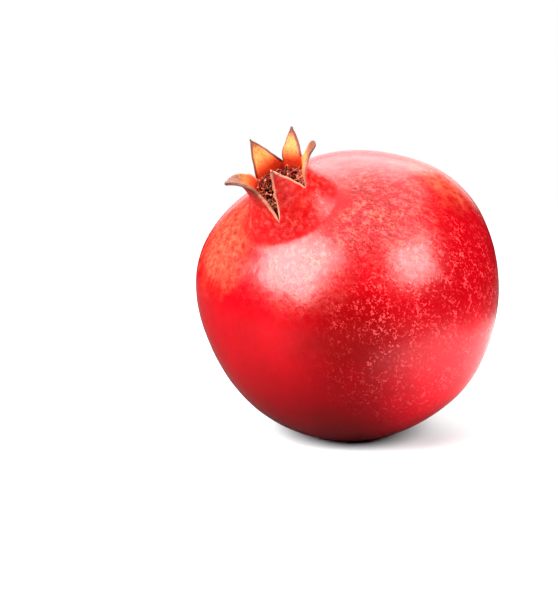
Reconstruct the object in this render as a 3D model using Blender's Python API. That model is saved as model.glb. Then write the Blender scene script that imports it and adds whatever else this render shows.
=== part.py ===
"""A whole pomegranate, as picked, lying on its side with the crown raised.

The rind and the calyx crown grew as one piece, the fruit. Dried stamens fill the cup of the
crown, and a clipped woody stalk is left at the other end. Everything is modelled upright about
the fruit's own axis, crown up, and hangs on one empty that leans it over onto its flat spot.
"""

import math
import random
from collections import namedtuple

import bmesh
import bpy
from mathutils import Matrix, Vector

MM = 0.001

# Body, measured from its centre along and across the fruit's axis
EQUATOR_RADIUS = 45.5 * MM
CROWN_END_HEIGHT = 42.5 * MM
STEM_END_HEIGHT = 43.2 * MM
FULLNESS = 2.08
RIB_COUNT = 6
RIB_HEIGHT = 0.3 * MM
RIB_AZIMUTH = -8.0

# Soft swellings and flats of the rind: azimuth, latitude and spread in degrees, then height
SWELLINGS = [
    (8.0, 10.0, 24.0, 2.0 * MM),
    (143.0, 34.0, 27.0, 4.3 * MM),
    (320.0, -38.0, 26.0, -0.3 * MM),
    (75.0, -20.0, 28.0, 1.2 * MM),
    (200.0, -5.0, 26.0, 1.0 * MM),
]

# Neck of the crown, from the shoulder up to the rim where the lobes part. Its foot sweeps out
# all round, and one side also widens in a straight line, like a cone
NECK_RADIUS = 9.8 * MM
NECK_TAPER = 0.10
NECK_FLARE = 3.0 * MM
FLARE_SWEEP = 1.7
FLARE_LIMIT = 1.2
SIDE_FLARE = 2.6 * MM
FLARE_AZIMUTH = 155.0
NECK_BLEND = 6.0 * MM
RIM_HEIGHT = 52.2 * MM
COLLAR_DROP = 10.0 * MM

# Calyx cup
WALL = 1.5 * MM
EDGE = 0.9 * MM
CUP_DEPTH = 9.0 * MM
CUP_DISH = 0.6 * MM

# Notches between the lobes: azimuth in degrees, depth below the rim
NOTCHES = [
    (6.0, -2.2 * MM),
    (60.0, 0.9 * MM),
    (120.0, 0.9 * MM),
    (234.0, 5.6 * MM),
    (302.0, 0.9 * MM),
]
NOTCH_SHARPNESS = 4.0

# A lobe stands between two notches. Lean and curl are degrees outwards, curl_from is the share
# of the length where the curl begins, sideways is degrees of azimuth gained at the tip, belly
# above 1 rounds the sides, and tip is half the width that is left near the end. The last of the
# length, above ROUND_FROM, is rounded off.
Lobe = namedtuple("Lobe", "length lean curl curl_from sideways belly tip")
LOBES = [
    Lobe(10.1 * MM, 49.0, 0.0, 0.5, 0.0, 1.4, 0.5 * MM),
    Lobe(10.2 * MM, 32.0, 6.0, 0.5, -1.0, 1.35, 0.4 * MM),
    Lobe(15.5 * MM, 11.0, 46.0, 0.25, 22.0, 1.75, 0.9 * MM),
    Lobe(11.7 * MM, 2.0, 6.0, 0.6, -2.0, 1.5, 0.5 * MM),
    Lobe(9.7 * MM, 48.0, 34.0, 0.55, 12.0, 0.8, 2.0 * MM),
]
ROUND_FROM = 0.82
ROUNDING = 0.8
LEAN_WITHIN = 0.4

# Stalk, and the socket and dimple that it stands in. Its profile is the share of its length from
# the root to the clipped end, and the share of its radius there
STALK_RADIUS = 2.5 * MM
STALK_LENGTH = 5.0 * MM
STALK_PROFILE = [(0.0, 0.95), (0.25, 1.0), (0.45, 1.06), (0.6, 0.92), (0.8, 0.86), (1.0, 0.9)]
STALK_SIDES = 14
SOCKET_RADIUS = 2.9 * MM
SOCKET_DEPTH = 1.5 * MM
DIMPLE_RADIUS = 7.0 * MM
DIMPLE_DEPTH = 1.2 * MM
CLEARANCE = 0.3 * MM

# Stamens, and the pad of matted filaments that they stand on
STAMEN_COUNT = 66
STAMEN_SEED = 11
STAMEN_LENGTH = 9.6 * MM
SHORTEST_STAMEN = 0.75
STAMEN_STEPS = 4
STAMEN_SIDES = 4
WANDER = 0.4
STEEPEST_BEND = 0.5
FILAMENT_RADIUS = 0.32 * MM
ANTHER_RADIUS = 0.55 * MM
PAD_THICKNESS = 1.2 * MM
PAD_SIDES = 24
PAD_MARGIN = 1.2 * MM
ROOT_DEPTH = 0.7 * MM
GOLDEN_ANGLE = math.radians(137.508)

# Rest pose: the axis leans from upright towards a heading, after the fruit is spun on its axis
LEAN = 41.4
HEADING = 228.8
SPIN = 147.3
FLAT_DEPTH = 1.5 * MM

# Mesh
COLUMNS_PER_LOBE = 12
STEM_ROWS = 14
SIDE_ROWS = 11
SHOULDER_ROWS = 9
SHOULDER_HEIGHT = 33.0 * MM
RELIEF_TOP = 37.0 * MM
NECK_ROWS = 4
LOBE_ROWS = 10
CUP_ROWS = 3
OUTLINE_STEP = 0.25 * MM
SPINE_STEPS = 48
MERGE_DISTANCE = 0.001 * MM


def clamp(value, low=0.0, high=1.0):
    return max(low, min(high, value))


def smooth_step(value):
    value = clamp(value)
    return value * value * (3.0 - 2.0 * value)


def smooth_max(first, second, blend):
    """The larger of two radii, with a rounded change from one to the other."""
    overlap = max(blend - abs(first - second), 0.0) / blend
    return max(first, second) + overlap * overlap * blend / 4.0


def ring_point(radius, azimuth, height):
    return Vector((radius * math.cos(azimuth), radius * math.sin(azimuth), height))


def body_radius(height):
    half = CROWN_END_HEIGHT if height > 0.0 else STEM_END_HEIGHT
    share = clamp(abs(height) / half)
    return EQUATOR_RADIUS * (1.0 - share**FULLNESS) ** (1.0 / FULLNESS)


def neck_radius(height):
    """Mean radius of the neck, which narrows to the rim."""
    return NECK_RADIUS + NECK_TAPER * (RIM_HEIGHT - height)


def neck_flare(height, azimuth):
    """What the neck widens by below its rim: a sweep all round, and a cone on one side."""
    drop = clamp((RIM_HEIGHT - height) / COLLAR_DROP, 0.0, FLARE_LIMIT)
    side = clamp(math.cos(azimuth - math.radians(FLARE_AZIMUTH))) ** 2
    return NECK_FLARE * drop**FLARE_SWEEP + SIDE_FLARE * side * drop


def outline_radius(height, azimuth):
    """Radius of the fruit above its equator: the body, running up into the neck."""
    neck = neck_radius(height) + neck_flare(height, azimuth)
    return smooth_max(body_radius(height), neck, NECK_BLEND)


def stem_end_outline():
    """Radius and height from the stalk's socket out to the equator."""
    points = []
    for degrees in range(90, -1, -1):
        angle = math.radians(degrees)
        radius = EQUATOR_RADIUS * math.cos(angle) ** (2.0 / FULLNESS)
        height = -STEM_END_HEIGHT * math.sin(angle) ** (2.0 / FULLNESS)
        height += DIMPLE_DEPTH * math.exp(-((radius / DIMPLE_RADIUS) ** 2))
        if radius > SOCKET_RADIUS:
            points.append((radius, height))
    return [(SOCKET_RADIUS, points[0][1])] + points


def upper_outline(bottom, top):
    """Radius and height between two heights at or above the equator, on a middling side."""
    steps = max(2, round((top - bottom) / OUTLINE_STEP))
    heights = [bottom + (top - bottom) * i / steps for i in range(steps + 1)]
    middling = math.radians(FLARE_AZIMUTH + 90.0)
    return [(outline_radius(height, middling), height) for height in heights]


def even_stations(points, count):
    """Resamples an outline at count equal steps along it, both ends included."""
    lengths = [0.0]
    for (r0, h0), (r1, h1) in zip(points, points[1:]):
        lengths.append(lengths[-1] + math.hypot(r1 - r0, h1 - h0))
    stations = []
    segment = 0
    for i in range(count + 1):
        wanted = lengths[-1] * i / count
        while segment < len(points) - 2 and lengths[segment + 1] < wanted:
            segment += 1
        share = (wanted - lengths[segment]) / (lengths[segment + 1] - lengths[segment])
        (r0, h0), (r1, h1) = points[segment], points[segment + 1]
        stations.append((r0 + (r1 - r0) * share, h0 + (h1 - h0) * share))
    return stations


def body_stations():
    """Every ring of the outside, from the stalk's socket to the collar under the notches."""
    lower = even_stations(stem_end_outline(), STEM_ROWS)
    side = even_stations(upper_outline(0.0, SHOULDER_HEIGHT), SIDE_ROWS)
    shoulder = even_stations(
        upper_outline(SHOULDER_HEIGHT, RIM_HEIGHT - COLLAR_DROP), SHOULDER_ROWS
    )
    return lower + side[1:] + shoulder[1:]


def rind_relief(point):
    """How far the rind stands out from its turned outline, by ribs and soft swellings."""
    azimuth = math.atan2(point.y, point.x)
    latitude = math.atan2(point.z, math.hypot(point.x, point.y))
    ribs = math.cos(RIB_COUNT * (azimuth - math.radians(RIB_AZIMUTH)))
    relief = RIB_HEIGHT * ribs * math.cos(latitude) ** 2
    direction = point.normalized()
    for swell_azimuth, swell_latitude, spread, height in SWELLINGS:
        level = math.radians(swell_latitude)
        centre = ring_point(math.cos(level), math.radians(swell_azimuth), math.sin(level))
        away = math.degrees(direction.angle(centre))
        relief += height * math.exp(-((away / spread) ** 2))
    if point.z < 0.0:
        fade = math.exp(-((math.hypot(point.x, point.y) / DIMPLE_RADIUS) ** 2))
    else:
        fade = smooth_step((point.z - RELIEF_TOP) / (CROWN_END_HEIGHT - RELIEF_TOP))
    return relief * (1.0 - fade)


def rind_point(radius, azimuth, height):
    if height > SHOULDER_HEIGHT:
        radius = outline_radius(height, azimuth)
    point = ring_point(radius, azimuth, height)
    return point + point.normalized() * rind_relief(point)


def lobe_span(index):
    """Start azimuth, width and the two notch depths of a lobe."""
    start, start_depth = NOTCHES[index]
    end, end_depth = NOTCHES[(index + 1) % len(NOTCHES)]
    width = (end - start) % 360.0
    return math.radians(start), math.radians(width), start_depth, end_depth


def base_drop(index, across):
    """How far below the rim the foot of a lobe is, across it from -1 to 1."""
    _, _, start_depth, end_depth = lobe_span(index)
    depth = start_depth if across < 0.0 else end_depth
    return depth * abs(across) ** NOTCH_SHARPNESS


def spine(lobe):
    """Radius and height along the middle of a lobe, from the rim to the tip."""
    radius, height = neck_radius(RIM_HEIGHT), RIM_HEIGHT
    points = [(radius, height)]
    for i in range(SPINE_STEPS):
        share = (i + 0.5) / SPINE_STEPS
        heading = -math.atan(NECK_TAPER)
        heading += math.radians(lobe.lean) * smooth_step(share / LEAN_WITHIN)
        curled = (share - lobe.curl_from) / (1.0 - lobe.curl_from)
        heading += math.radians(lobe.curl) * smooth_step(curled)
        radius += math.sin(heading) * lobe.length / SPINE_STEPS
        height += math.cos(heading) * lobe.length / SPINE_STEPS
        points.append((radius, height))
    return points


def along_spine(points, share):
    place = clamp(share) * (len(points) - 1)
    i = min(int(place), len(points) - 2)
    (r0, h0), (r1, h1) = points[i], points[i + 1]
    return r0 + (r1 - r0) * (place - i), h0 + (h1 - h0) * (place - i)


def wall_thickness(across, climb):
    """Thickness of the calyx: thickest low in the middle of a lobe, thin at its edges."""
    return WALL + (EDGE - WALL) * max(climb, across * across)


def lobe_reach(index, across, distance):
    """Half the width of a lobe at a distance up from the rim."""
    lobe = LOBES[index]
    _, width, start_depth, end_depth = lobe_span(index)
    depth = start_depth if across < 0.0 else end_depth
    climbed = clamp((distance + depth) / (lobe.length + depth))
    half_width = neck_radius(RIM_HEIGHT) * width / 2.0
    reach = max(half_width * (1.0 - climbed**lobe.belly), lobe.tip)
    rounding = clamp((climbed - ROUND_FROM) / (1.0 - ROUND_FROM))
    return reach * math.sqrt(1.0 - ROUNDING * rounding * rounding)


def lobe_point(index, spine_points, across, distance):
    """Outside of a lobe. Distance is measured up from the rim, and is below 0 in a notch."""
    lobe = LOBES[index]
    start, width, _, _ = lobe_span(index)
    share = distance / lobe.length
    radius, height = along_spine(spine_points, share)
    azimuth = start + width / 2.0 + across * lobe_reach(index, across, distance) / radius
    azimuth += math.radians(lobe.sideways) * smooth_step(share)
    if distance < 0.0:
        height = RIM_HEIGHT + distance
        radius = neck_radius(height) + neck_flare(height, azimuth)
    return ring_point(radius, azimuth, height)


def lobe_grid(index):
    """Outer and inner points of a lobe above its foot, row by row."""
    lobe = LOBES[index]
    spine_points = spine(lobe)
    small = 0.02
    outer_rows, inner_rows = [], []
    for row in range(1, LOBE_ROWS + 1):
        climb = row / LOBE_ROWS
        outer, inner = [], []
        for column in range(COLUMNS_PER_LOBE + 1):
            across = 2.0 * column / COLUMNS_PER_LOBE - 1.0
            foot = -base_drop(index, across)
            distance = foot + (lobe.length - foot) * climb
            point = lobe_point(index, spine_points, across, distance)
            step = small * lobe.length
            along = lobe_point(index, spine_points, across, min(distance + step, lobe.length))
            along -= lobe_point(index, spine_points, across, distance - step)
            aside = lobe_point(index, spine_points, across + small, distance)
            aside -= lobe_point(index, spine_points, across - small, distance)
            normal = aside.cross(along).normalized()
            outer.append(point)
            inner.append(point - normal * wall_thickness(across, climb))
        outer_rows.append(outer)
        inner_rows.append(inner)
    return outer_rows, inner_rows


def column_list():
    """(lobe, across) of every column round the fruit, one after the other."""
    return [
        (lobe, 2.0 * column / COLUMNS_PER_LOBE - 1.0)
        for lobe in range(len(LOBES))
        for column in range(COLUMNS_PER_LOBE)
    ]


def column_azimuth(lobe, across):
    start, width, _, _ = lobe_span(lobe)
    return start + width * (across + 1.0) / 2.0


class Cage:
    """Collects points and faces, row by row, for one closed mesh."""

    def __init__(self):
        self.points = []
        self.faces = []

    def row(self, points):
        first = len(self.points)
        self.points.extend(points)
        return list(range(first, len(self.points)))

    def band(self, lower, upper, closed=True):
        count = len(lower)
        for i in range(count if closed else count - 1):
            j = (i + 1) % count
            self.faces.append((lower[i], lower[j], upper[j], upper[i]))

    def fan(self, ring, centre):
        (middle,) = self.row([centre])
        for i in range(len(ring)):
            self.faces.append((ring[i], ring[(i + 1) % len(ring)], middle))


def neck_ring(azimuths, heights):
    return [
        ring_point(neck_radius(h) + neck_flare(h, a), a, h) for a, h in zip(azimuths, heights)
    ]


def cup_radius(height):
    """Radius of the inside of the calyx cup, where its wall has its full thickness."""
    return neck_radius(height) - WALL


def fruit_cage():
    cage = Cage()
    columns = column_list()
    azimuths = [column_azimuth(*column) for column in columns]
    stations = body_stations()

    # Socket of the stalk
    socket_height = stations[0][1]
    floor = cage.row(
        [ring_point(SOCKET_RADIUS, a, socket_height + SOCKET_DEPTH) for a in azimuths]
    )
    cage.fan(floor, Vector((0.0, 0.0, socket_height + SOCKET_DEPTH)))

    # Outside, from the socket to the collar
    below = floor
    for radius, height in stations:
        ring = cage.row([rind_point(radius, a, height) for a in azimuths])
        cage.band(below, ring)
        below = ring

    # Neck, whose last ring is the foot of the lobes and dips at each notch
    collar_height = stations[-1][1]
    feet = [RIM_HEIGHT - base_drop(*column) for column in columns]
    for i in range(1, NECK_ROWS + 1):
        share = i / NECK_ROWS
        heights = [collar_height + (foot - collar_height) * share for foot in feet]
        ring = cage.row(neck_ring(azimuths, heights))
        cage.band(below, ring)
        below = ring
    outer_foot = below

    # Inside of the cup, from the foot of the lobes down to the floor
    floor_height = RIM_HEIGHT - CUP_DEPTH
    inner_foot = []
    for i in range(CUP_ROWS + 1):
        share = i / CUP_ROWS
        points = []
        for (_, across), azimuth, foot in zip(columns, azimuths, feet):
            height = foot + (floor_height - foot) * share
            thinner = WALL - wall_thickness(across, 0.0) + neck_flare(foot, azimuth)
            radius = cup_radius(height) + thinner * (1.0 - share)
            points.append(ring_point(radius, azimuth, height))
        ring = cage.row(points)
        if inner_foot:
            cage.band(below, ring)
        else:
            inner_foot = ring
        below = ring
    for share in (0.85, 0.5):
        radius = cup_radius(floor_height) * share
        height = floor_height - CUP_DISH * (1.0 - share)
        ring = cage.row([ring_point(radius, a, height) for a in azimuths])
        cage.band(below, ring)
        below = ring
    cage.fan(below, Vector((0.0, 0.0, floor_height - CUP_DISH)))

    # Lobes: each is an outer and an inner sheet, joined along both sides and over the tip
    for index in range(len(LOBES)):
        first = index * COLUMNS_PER_LOBE
        own = [(first + i) % len(columns) for i in range(COLUMNS_PER_LOBE + 1)]
        outer = [outer_foot[i] for i in own]
        inner = [inner_foot[i] for i in own]
        for outer_points, inner_points in zip(*lobe_grid(index)):
            next_outer, next_inner = cage.row(outer_points), cage.row(inner_points)
            cage.band(outer, next_outer, closed=False)
            cage.band(next_inner, inner, closed=False)
            cage.faces.append((outer[0], next_outer[0], next_inner[0], inner[0]))
            cage.faces.append((outer[-1], inner[-1], next_inner[-1], next_outer[-1]))
            outer, inner = next_outer, next_inner
        cage.band(outer, inner, closed=False)
    return cage


def shape_object(name, shape, parent):
    """Turns a bmesh into a named object, its faces pointing out."""
    bmesh.ops.recalc_face_normals(shape, faces=shape.faces)
    mesh = bpy.data.meshes.new(name)
    shape.to_mesh(mesh)
    shape.free()
    obj = bpy.data.objects.new(name, mesh)
    bpy.context.scene.collection.objects.link(obj)
    obj.parent = parent
    return obj


def mesh_object(name, cage, parent):
    shape = bmesh.new()
    verts = [shape.verts.new(point) for point in cage.points]
    for corners in cage.faces:
        shape.faces.new([verts[i] for i in corners])
    return shape_object(name, shape, parent)


def material(name, colour, roughness):
    made = bpy.data.materials.new(name)
    made.use_nodes = True
    shader = made.node_tree.nodes["Principled BSDF"]
    shader.inputs["Base Color"].default_value = (*colour, 1.0)
    shader.inputs["Roughness"].default_value = roughness
    shader.inputs["Metallic"].default_value = 0.0
    return made


def shade_smooth(obj, sharp_above=40.0):
    obj.data.shade_smooth()
    obj.data.set_sharp_from_angle(angle=math.radians(sharp_above))


def rest_rotation():
    turn = Matrix.Rotation(math.radians(HEADING), 3, "Z")
    tilt = Matrix.Rotation(math.radians(LEAN), 3, "Y")
    spin = Matrix.Rotation(math.radians(SPIN), 3, "Z")
    return turn @ tilt @ spin


def flatten_underside(fruit, rotation):
    """Cuts the small flat spot that the fruit rests on, and returns its centre."""
    down = rotation.inverted() @ Vector((0.0, 0.0, -1.0))
    lowest = max((v.co for v in fruit.data.vertices), key=lambda co: co.dot(down))
    plane = down * (lowest.dot(down) - FLAT_DEPTH)
    shape = bmesh.new()
    shape.from_mesh(fruit.data)
    everything = shape.verts[:] + shape.edges[:] + shape.faces[:]
    cut = bmesh.ops.bisect_plane(
        shape, geom=everything, plane_co=plane, plane_no=down, clear_outer=True
    )
    rim = [e for e in cut["geom_cut"] if isinstance(e, bmesh.types.BMEdge)]
    face = bmesh.ops.contextual_create(shape, geom=rim)["faces"][0]
    face.normal_update()
    if face.normal.dot(down) < 0.0:
        face.normal_flip()
    centre = face.calc_center_median_weighted()
    shape.to_mesh(fruit.data)
    shape.free()
    return centre


def build_fruit(parent):
    fruit = mesh_object("fruit", fruit_cage(), parent)
    fruit.data.materials.append(material("rind", (0.62, 0.02, 0.03), 0.38))
    return fruit


def tube(path, radii, sides):
    """A closed tube along a path, with flat ends."""
    cage = Cage()
    rings = []
    for i, (centre, radius) in enumerate(zip(path, radii)):
        ahead = path[min(i + 1, len(path) - 1)] - path[max(i - 1, 0)]
        first = ahead.cross(Vector((0.31, 0.87, 0.38))).normalized()
        second = ahead.cross(first).normalized()
        ring = []
        for side in range(sides):
            angle = 2.0 * math.pi * side / sides
            ring.append(centre + (first * math.cos(angle) + second * math.sin(angle)) * radius)
        rings.append(cage.row(ring))
    for lower, upper in zip(rings, rings[1:]):
        cage.band(lower, upper)
    cage.faces.append(tuple(reversed(rings[0])))
    cage.faces.append(tuple(rings[-1]))
    return cage


def stamen_path(rng, number, pad_top, spread):
    """A dried filament: it rises from the pad, wanders, and stays inside the cup."""
    distance = spread * math.sqrt((number + 0.5) / STAMEN_COUNT)
    place = ring_point(distance, number * GOLDEN_ANGLE, pad_top - ROOT_DEPTH)
    length = STAMEN_LENGTH * rng.uniform(SHORTEST_STAMEN, 1.0)
    heading = Vector((0.0, 0.0, 1.0))
    path = [place]
    for _ in range(STAMEN_STEPS):
        bend = Vector((rng.uniform(-1.0, 1.0), rng.uniform(-1.0, 1.0), 0.0))
        heading = (heading + bend * WANDER).normalized()
        heading.z = max(heading.z, STEEPEST_BEND)
        place = place + heading * (length / STAMEN_STEPS)
        room = cup_radius(place.z) - CLEARANCE - 1.6 * ANTHER_RADIUS
        flat = math.hypot(place.x, place.y)
        if flat > room:
            place.x *= room / flat
            place.y *= room / flat
        path.append(place.copy())
    return path


def keep_largest_shell(mesh):
    """Drops loose scraps, and fills hollows that the union has sealed off."""
    shape = bmesh.new()
    shape.from_mesh(mesh)
    unseen = set(shape.verts)
    shells = []
    while unseen:
        shell = [unseen.pop()]
        for vert in shell:
            for edge in vert.link_edges:
                neighbour = edge.other_vert(vert)
                if neighbour in unseen:
                    unseen.remove(neighbour)
                    shell.append(neighbour)
        shells.append(shell)
    shells.sort(key=len)
    scraps = [vert for shell in shells[:-1] for vert in shell]
    bmesh.ops.delete(shape, geom=scraps, context="VERTS")
    shape.to_mesh(mesh)
    shape.free()


def join_filaments(pad, filaments):
    """Fuses the pad and its filaments into one body, by one Boolean union."""
    join = pad.modifiers.new("join", "BOOLEAN")
    join.operation = "UNION"
    join.operand_type = "COLLECTION"
    join.collection = filaments
    join.solver = "MANIFOLD"
    bpy.context.view_layer.update()
    graph = bpy.context.evaluated_depsgraph_get()
    joined = bpy.data.meshes.new_from_object(pad.evaluated_get(graph))
    keep_largest_shell(joined)
    pad.modifiers.clear()
    pad.data = joined
    for filament in list(filaments.objects):
        bpy.data.objects.remove(filament)
    bpy.data.collections.remove(filaments)


def build_stamens(parent):
    """The dried stamens and the brown disc that they stand on, joined into one body."""
    floor_height = RIM_HEIGHT - CUP_DEPTH
    pad_radius = cup_radius(floor_height) - 2.0 * CLEARANCE
    pad_middle = floor_height + CLEARANCE + PAD_THICKNESS / 2.0
    pad_top = pad_middle + PAD_THICKNESS / 2.0
    shape = bmesh.new()
    bmesh.ops.create_cone(
        shape,
        cap_ends=True,
        segments=PAD_SIDES,
        radius1=pad_radius,
        radius2=pad_radius,
        depth=PAD_THICKNESS,
        matrix=Matrix.Translation((0.0, 0.0, pad_middle)),
    )
    pad = shape_object("stamens", shape, parent)

    filaments = bpy.data.collections.new("filaments")
    bpy.context.scene.collection.children.link(filaments)
    thin = FILAMENT_RADIUS
    radii = [1.25 * thin, thin, thin, ANTHER_RADIUS, 0.4 * ANTHER_RADIUS]
    rng = random.Random(STAMEN_SEED)
    for number in range(STAMEN_COUNT):
        path = stamen_path(rng, number, pad_top, pad_radius - PAD_MARGIN)
        cage = tube(path, radii, STAMEN_SIDES)
        filament = mesh_object(f"filament_{number}", cage, parent)
        bpy.context.scene.collection.objects.unlink(filament)
        filaments.objects.link(filament)
    join_filaments(pad, filaments)
    pad.data.materials.append(material("dried stamen", (0.20, 0.09, 0.035), 0.8))
    return pad


def build_stalk(parent):
    """The woody stalk, clipped short, turned from its profile, in its socket at the stem end."""
    socket_height = body_stations()[0][1]
    root = socket_height + SOCKET_DEPTH - CLEARANCE
    outline = [(STALK_RADIUS * r, root - STALK_LENGTH * share) for share, r in STALK_PROFILE]
    outline = [(0.0, outline[0][1]), *outline, (0.0, outline[-1][1])]
    shape = bmesh.new()
    verts = [shape.verts.new((radius, 0.0, height)) for radius, height in outline]
    edges = [shape.edges.new(pair) for pair in zip(verts, verts[1:])]
    bmesh.ops.spin(
        shape,
        geom=verts + edges,
        axis=(0.0, 0.0, 1.0),
        cent=(0.0, 0.0, 0.0),
        angle=2.0 * math.pi,
        steps=STALK_SIDES,
    )
    bmesh.ops.remove_doubles(shape, verts=shape.verts, dist=MERGE_DISTANCE)
    stalk = shape_object("stalk", shape, parent)
    stalk.data.materials.append(material("stalk wood", (0.24, 0.13, 0.06), 0.85))
    return stalk


def main():
    for obj in list(bpy.data.objects):
        bpy.data.objects.remove(obj)
    axis = bpy.data.objects.new("fruit_axis", None)
    bpy.context.scene.collection.objects.link(axis)
    fruit = build_fruit(axis)
    stamens = build_stamens(axis)
    stalk = build_stalk(axis)
    rotation = rest_rotation()
    flat_centre = flatten_underside(fruit, rotation)
    axis.matrix_world = Matrix.Translation(-(rotation @ flat_centre)) @ rotation.to_4x4()
    for obj in (fruit, stamens, stalk):
        shade_smooth(obj)
    bpy.context.view_layer.update()
    print("fruit centre, mm:", [round(c / MM, 2) for c in axis.matrix_world.translation])


main()
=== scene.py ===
# %% [markdown]
# # A whole pomegranate, dressed for its photograph
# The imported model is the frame: it gives the size, the place and the names of the parts. Each of
# its three solids gets a finer piece that stands for it: the rind with its crown, the dried
# stamens inside the crown, and the clipped stalk.

# %% Load the frame
import math
import random
from collections import namedtuple

import bmesh
import bpy
from mathutils import Matrix, Vector, noise


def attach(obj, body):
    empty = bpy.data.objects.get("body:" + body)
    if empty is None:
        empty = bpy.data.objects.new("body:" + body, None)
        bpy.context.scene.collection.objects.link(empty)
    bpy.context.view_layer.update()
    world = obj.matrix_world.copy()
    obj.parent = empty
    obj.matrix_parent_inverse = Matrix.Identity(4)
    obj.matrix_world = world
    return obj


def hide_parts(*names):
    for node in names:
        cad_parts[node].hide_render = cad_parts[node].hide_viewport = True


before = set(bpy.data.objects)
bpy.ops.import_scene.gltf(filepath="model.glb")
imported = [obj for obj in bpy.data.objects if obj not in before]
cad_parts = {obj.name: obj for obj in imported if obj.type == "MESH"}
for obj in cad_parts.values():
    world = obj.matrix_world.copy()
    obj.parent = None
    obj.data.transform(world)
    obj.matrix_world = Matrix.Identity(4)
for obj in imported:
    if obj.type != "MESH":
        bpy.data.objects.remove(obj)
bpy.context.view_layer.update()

MM = 0.001
print("nodes in the frame:", sorted(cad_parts))

# %% [markdown]
# ## Small helpers
# A fruit like this grew round an axis, so nearly every point is a radius, an azimuth and a height.
# The helpers below turn those into points, and ease one value into another without a corner.

# %% Helpers for shapes
def clamp(value, low=0.0, high=1.0):
    return max(low, min(high, value))


def smooth_step(value):
    value = clamp(value)
    return value * value * (3.0 - 2.0 * value)


def smooth_max(first, second, blend):
    """The larger of two radii, with a rounded change from one to the other."""
    overlap = max(blend - abs(first - second), 0.0) / blend
    return max(first, second) + overlap * overlap * blend / 4.0


def ring_point(radius, azimuth, height):
    return Vector((radius * math.cos(azimuth), radius * math.sin(azimuth), height))


def direction(azimuth, latitude):
    """A direction from degrees round the axis and degrees up from the level."""
    level = math.radians(latitude)
    return ring_point(math.cos(level), math.radians(azimuth), math.sin(level))


def on_axis(height):
    return Vector((0.0, 0.0, height))


def waviness(point, size, seed):
    """Smooth noise from -1 to 1 whose bumps are about size across."""
    return noise.noise(point / size + Vector((seed, 0.0, 0.0)))


# %% [markdown]
# ## How the fruit lies
# The fruit is shaped upright about its own axis and then laid down, because that keeps every
# shape simple. The same turn and shift are kept for the materials, which need to know where the
# crown end is to run their streaks from it.

# %% Rest pose of the fruit
LEAN = 41.4
HEADING = 228.8
SPIN = 147.3
FRUIT_CENTRE = Vector((1.46, 2.28, 43.28)) * MM

turn = Matrix.Rotation(math.radians(HEADING), 4, "Z")
tilt = Matrix.Rotation(math.radians(LEAN), 4, "Y")
spin = Matrix.Rotation(math.radians(SPIN), 4, "Z")
laid = Matrix.Translation(FRUIT_CENTRE) @ turn @ tilt @ spin
print("the crown points along", [round(c, 2) for c in laid.to_3x3() @ on_axis(1.0)])

# %% [markdown]
# ## The body
# A pomegranate is nearly a ball, but a ball would look wrong: it is fuller than a circle at its
# shoulders, has faint flats between soft ribs, and swells more on some sides. A superellipse gives
# the full outline, and a few broad bumps laid on it give the uneven growth. The values are the
# same as in the solid, so the finer skin lies on it.

# %% Outline of the body and neck
EQUATOR_RADIUS = 45.5 * MM
CROWN_END_HEIGHT = 42.5 * MM
STEM_END_HEIGHT = 43.2 * MM
FULLNESS = 2.08
RIB_COUNT = 6
RIB_HEIGHT = 0.3 * MM
RIB_AZIMUTH = -8.0
SWELLINGS = [
    (8.0, 10.0, 24.0, 2.0 * MM),
    (143.0, 34.0, 27.0, 4.3 * MM),
    (320.0, -38.0, 26.0, -0.3 * MM),
    (75.0, -20.0, 28.0, 1.2 * MM),
    (200.0, -5.0, 26.0, 1.0 * MM),
]

NECK_RADIUS = 9.8 * MM
NECK_TAPER = 0.10
NECK_FLARE = 3.0 * MM
FLARE_SWEEP = 1.7
FLARE_LIMIT = 1.2
SIDE_FLARE = 2.6 * MM
FLARE_AZIMUTH = 155.0
NECK_BLEND = 6.0 * MM
RIM_HEIGHT = 52.2 * MM
COLLAR_DROP = 10.0 * MM
SHOULDER_HEIGHT = 33.0 * MM
RELIEF_TOP = 37.0 * MM

SOCKET_RADIUS = 2.9 * MM
SOCKET_DEPTH = 1.5 * MM
DIMPLE_RADIUS = 7.0 * MM
DIMPLE_DEPTH = 1.2 * MM


def body_radius(height):
    half = CROWN_END_HEIGHT if height > 0.0 else STEM_END_HEIGHT
    share = clamp(abs(height) / half)
    return EQUATOR_RADIUS * (1.0 - share**FULLNESS) ** (1.0 / FULLNESS)


def neck_radius(height):
    return NECK_RADIUS + NECK_TAPER * (RIM_HEIGHT - height)


def neck_flare(height, azimuth):
    """What the neck widens by below its rim: a sweep all round, and a cone on one side."""
    drop = clamp((RIM_HEIGHT - height) / COLLAR_DROP, 0.0, FLARE_LIMIT)
    side = clamp(math.cos(azimuth - math.radians(FLARE_AZIMUTH))) ** 2
    return NECK_FLARE * drop**FLARE_SWEEP + SIDE_FLARE * side * drop


def outline_radius(height, azimuth):
    """Radius of the fruit above its equator: the body, running up into the neck."""
    neck = neck_radius(height) + neck_flare(height, azimuth)
    return smooth_max(body_radius(height), neck, NECK_BLEND)


# %% [markdown]
# The rings of the mesh are placed at even steps along the outline, not at even heights. Even
# heights would crowd the sides and leave the two ends coarse.

# %% Rings of the body
STEM_ROWS = 40
SIDE_ROWS = 34
SHOULDER_ROWS = 24
OUTLINE_STEP = 0.25 * MM


def stem_end_outline():
    """Radius and height from the stalk's socket out to the equator."""
    points = []
    for degrees in range(90, -1, -1):
        angle = math.radians(degrees)
        radius = EQUATOR_RADIUS * math.cos(angle) ** (2.0 / FULLNESS)
        height = -STEM_END_HEIGHT * math.sin(angle) ** (2.0 / FULLNESS)
        height += DIMPLE_DEPTH * math.exp(-((radius / DIMPLE_RADIUS) ** 2))
        if radius > SOCKET_RADIUS:
            points.append((radius, height))
    return [(SOCKET_RADIUS, points[0][1])] + points


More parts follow.
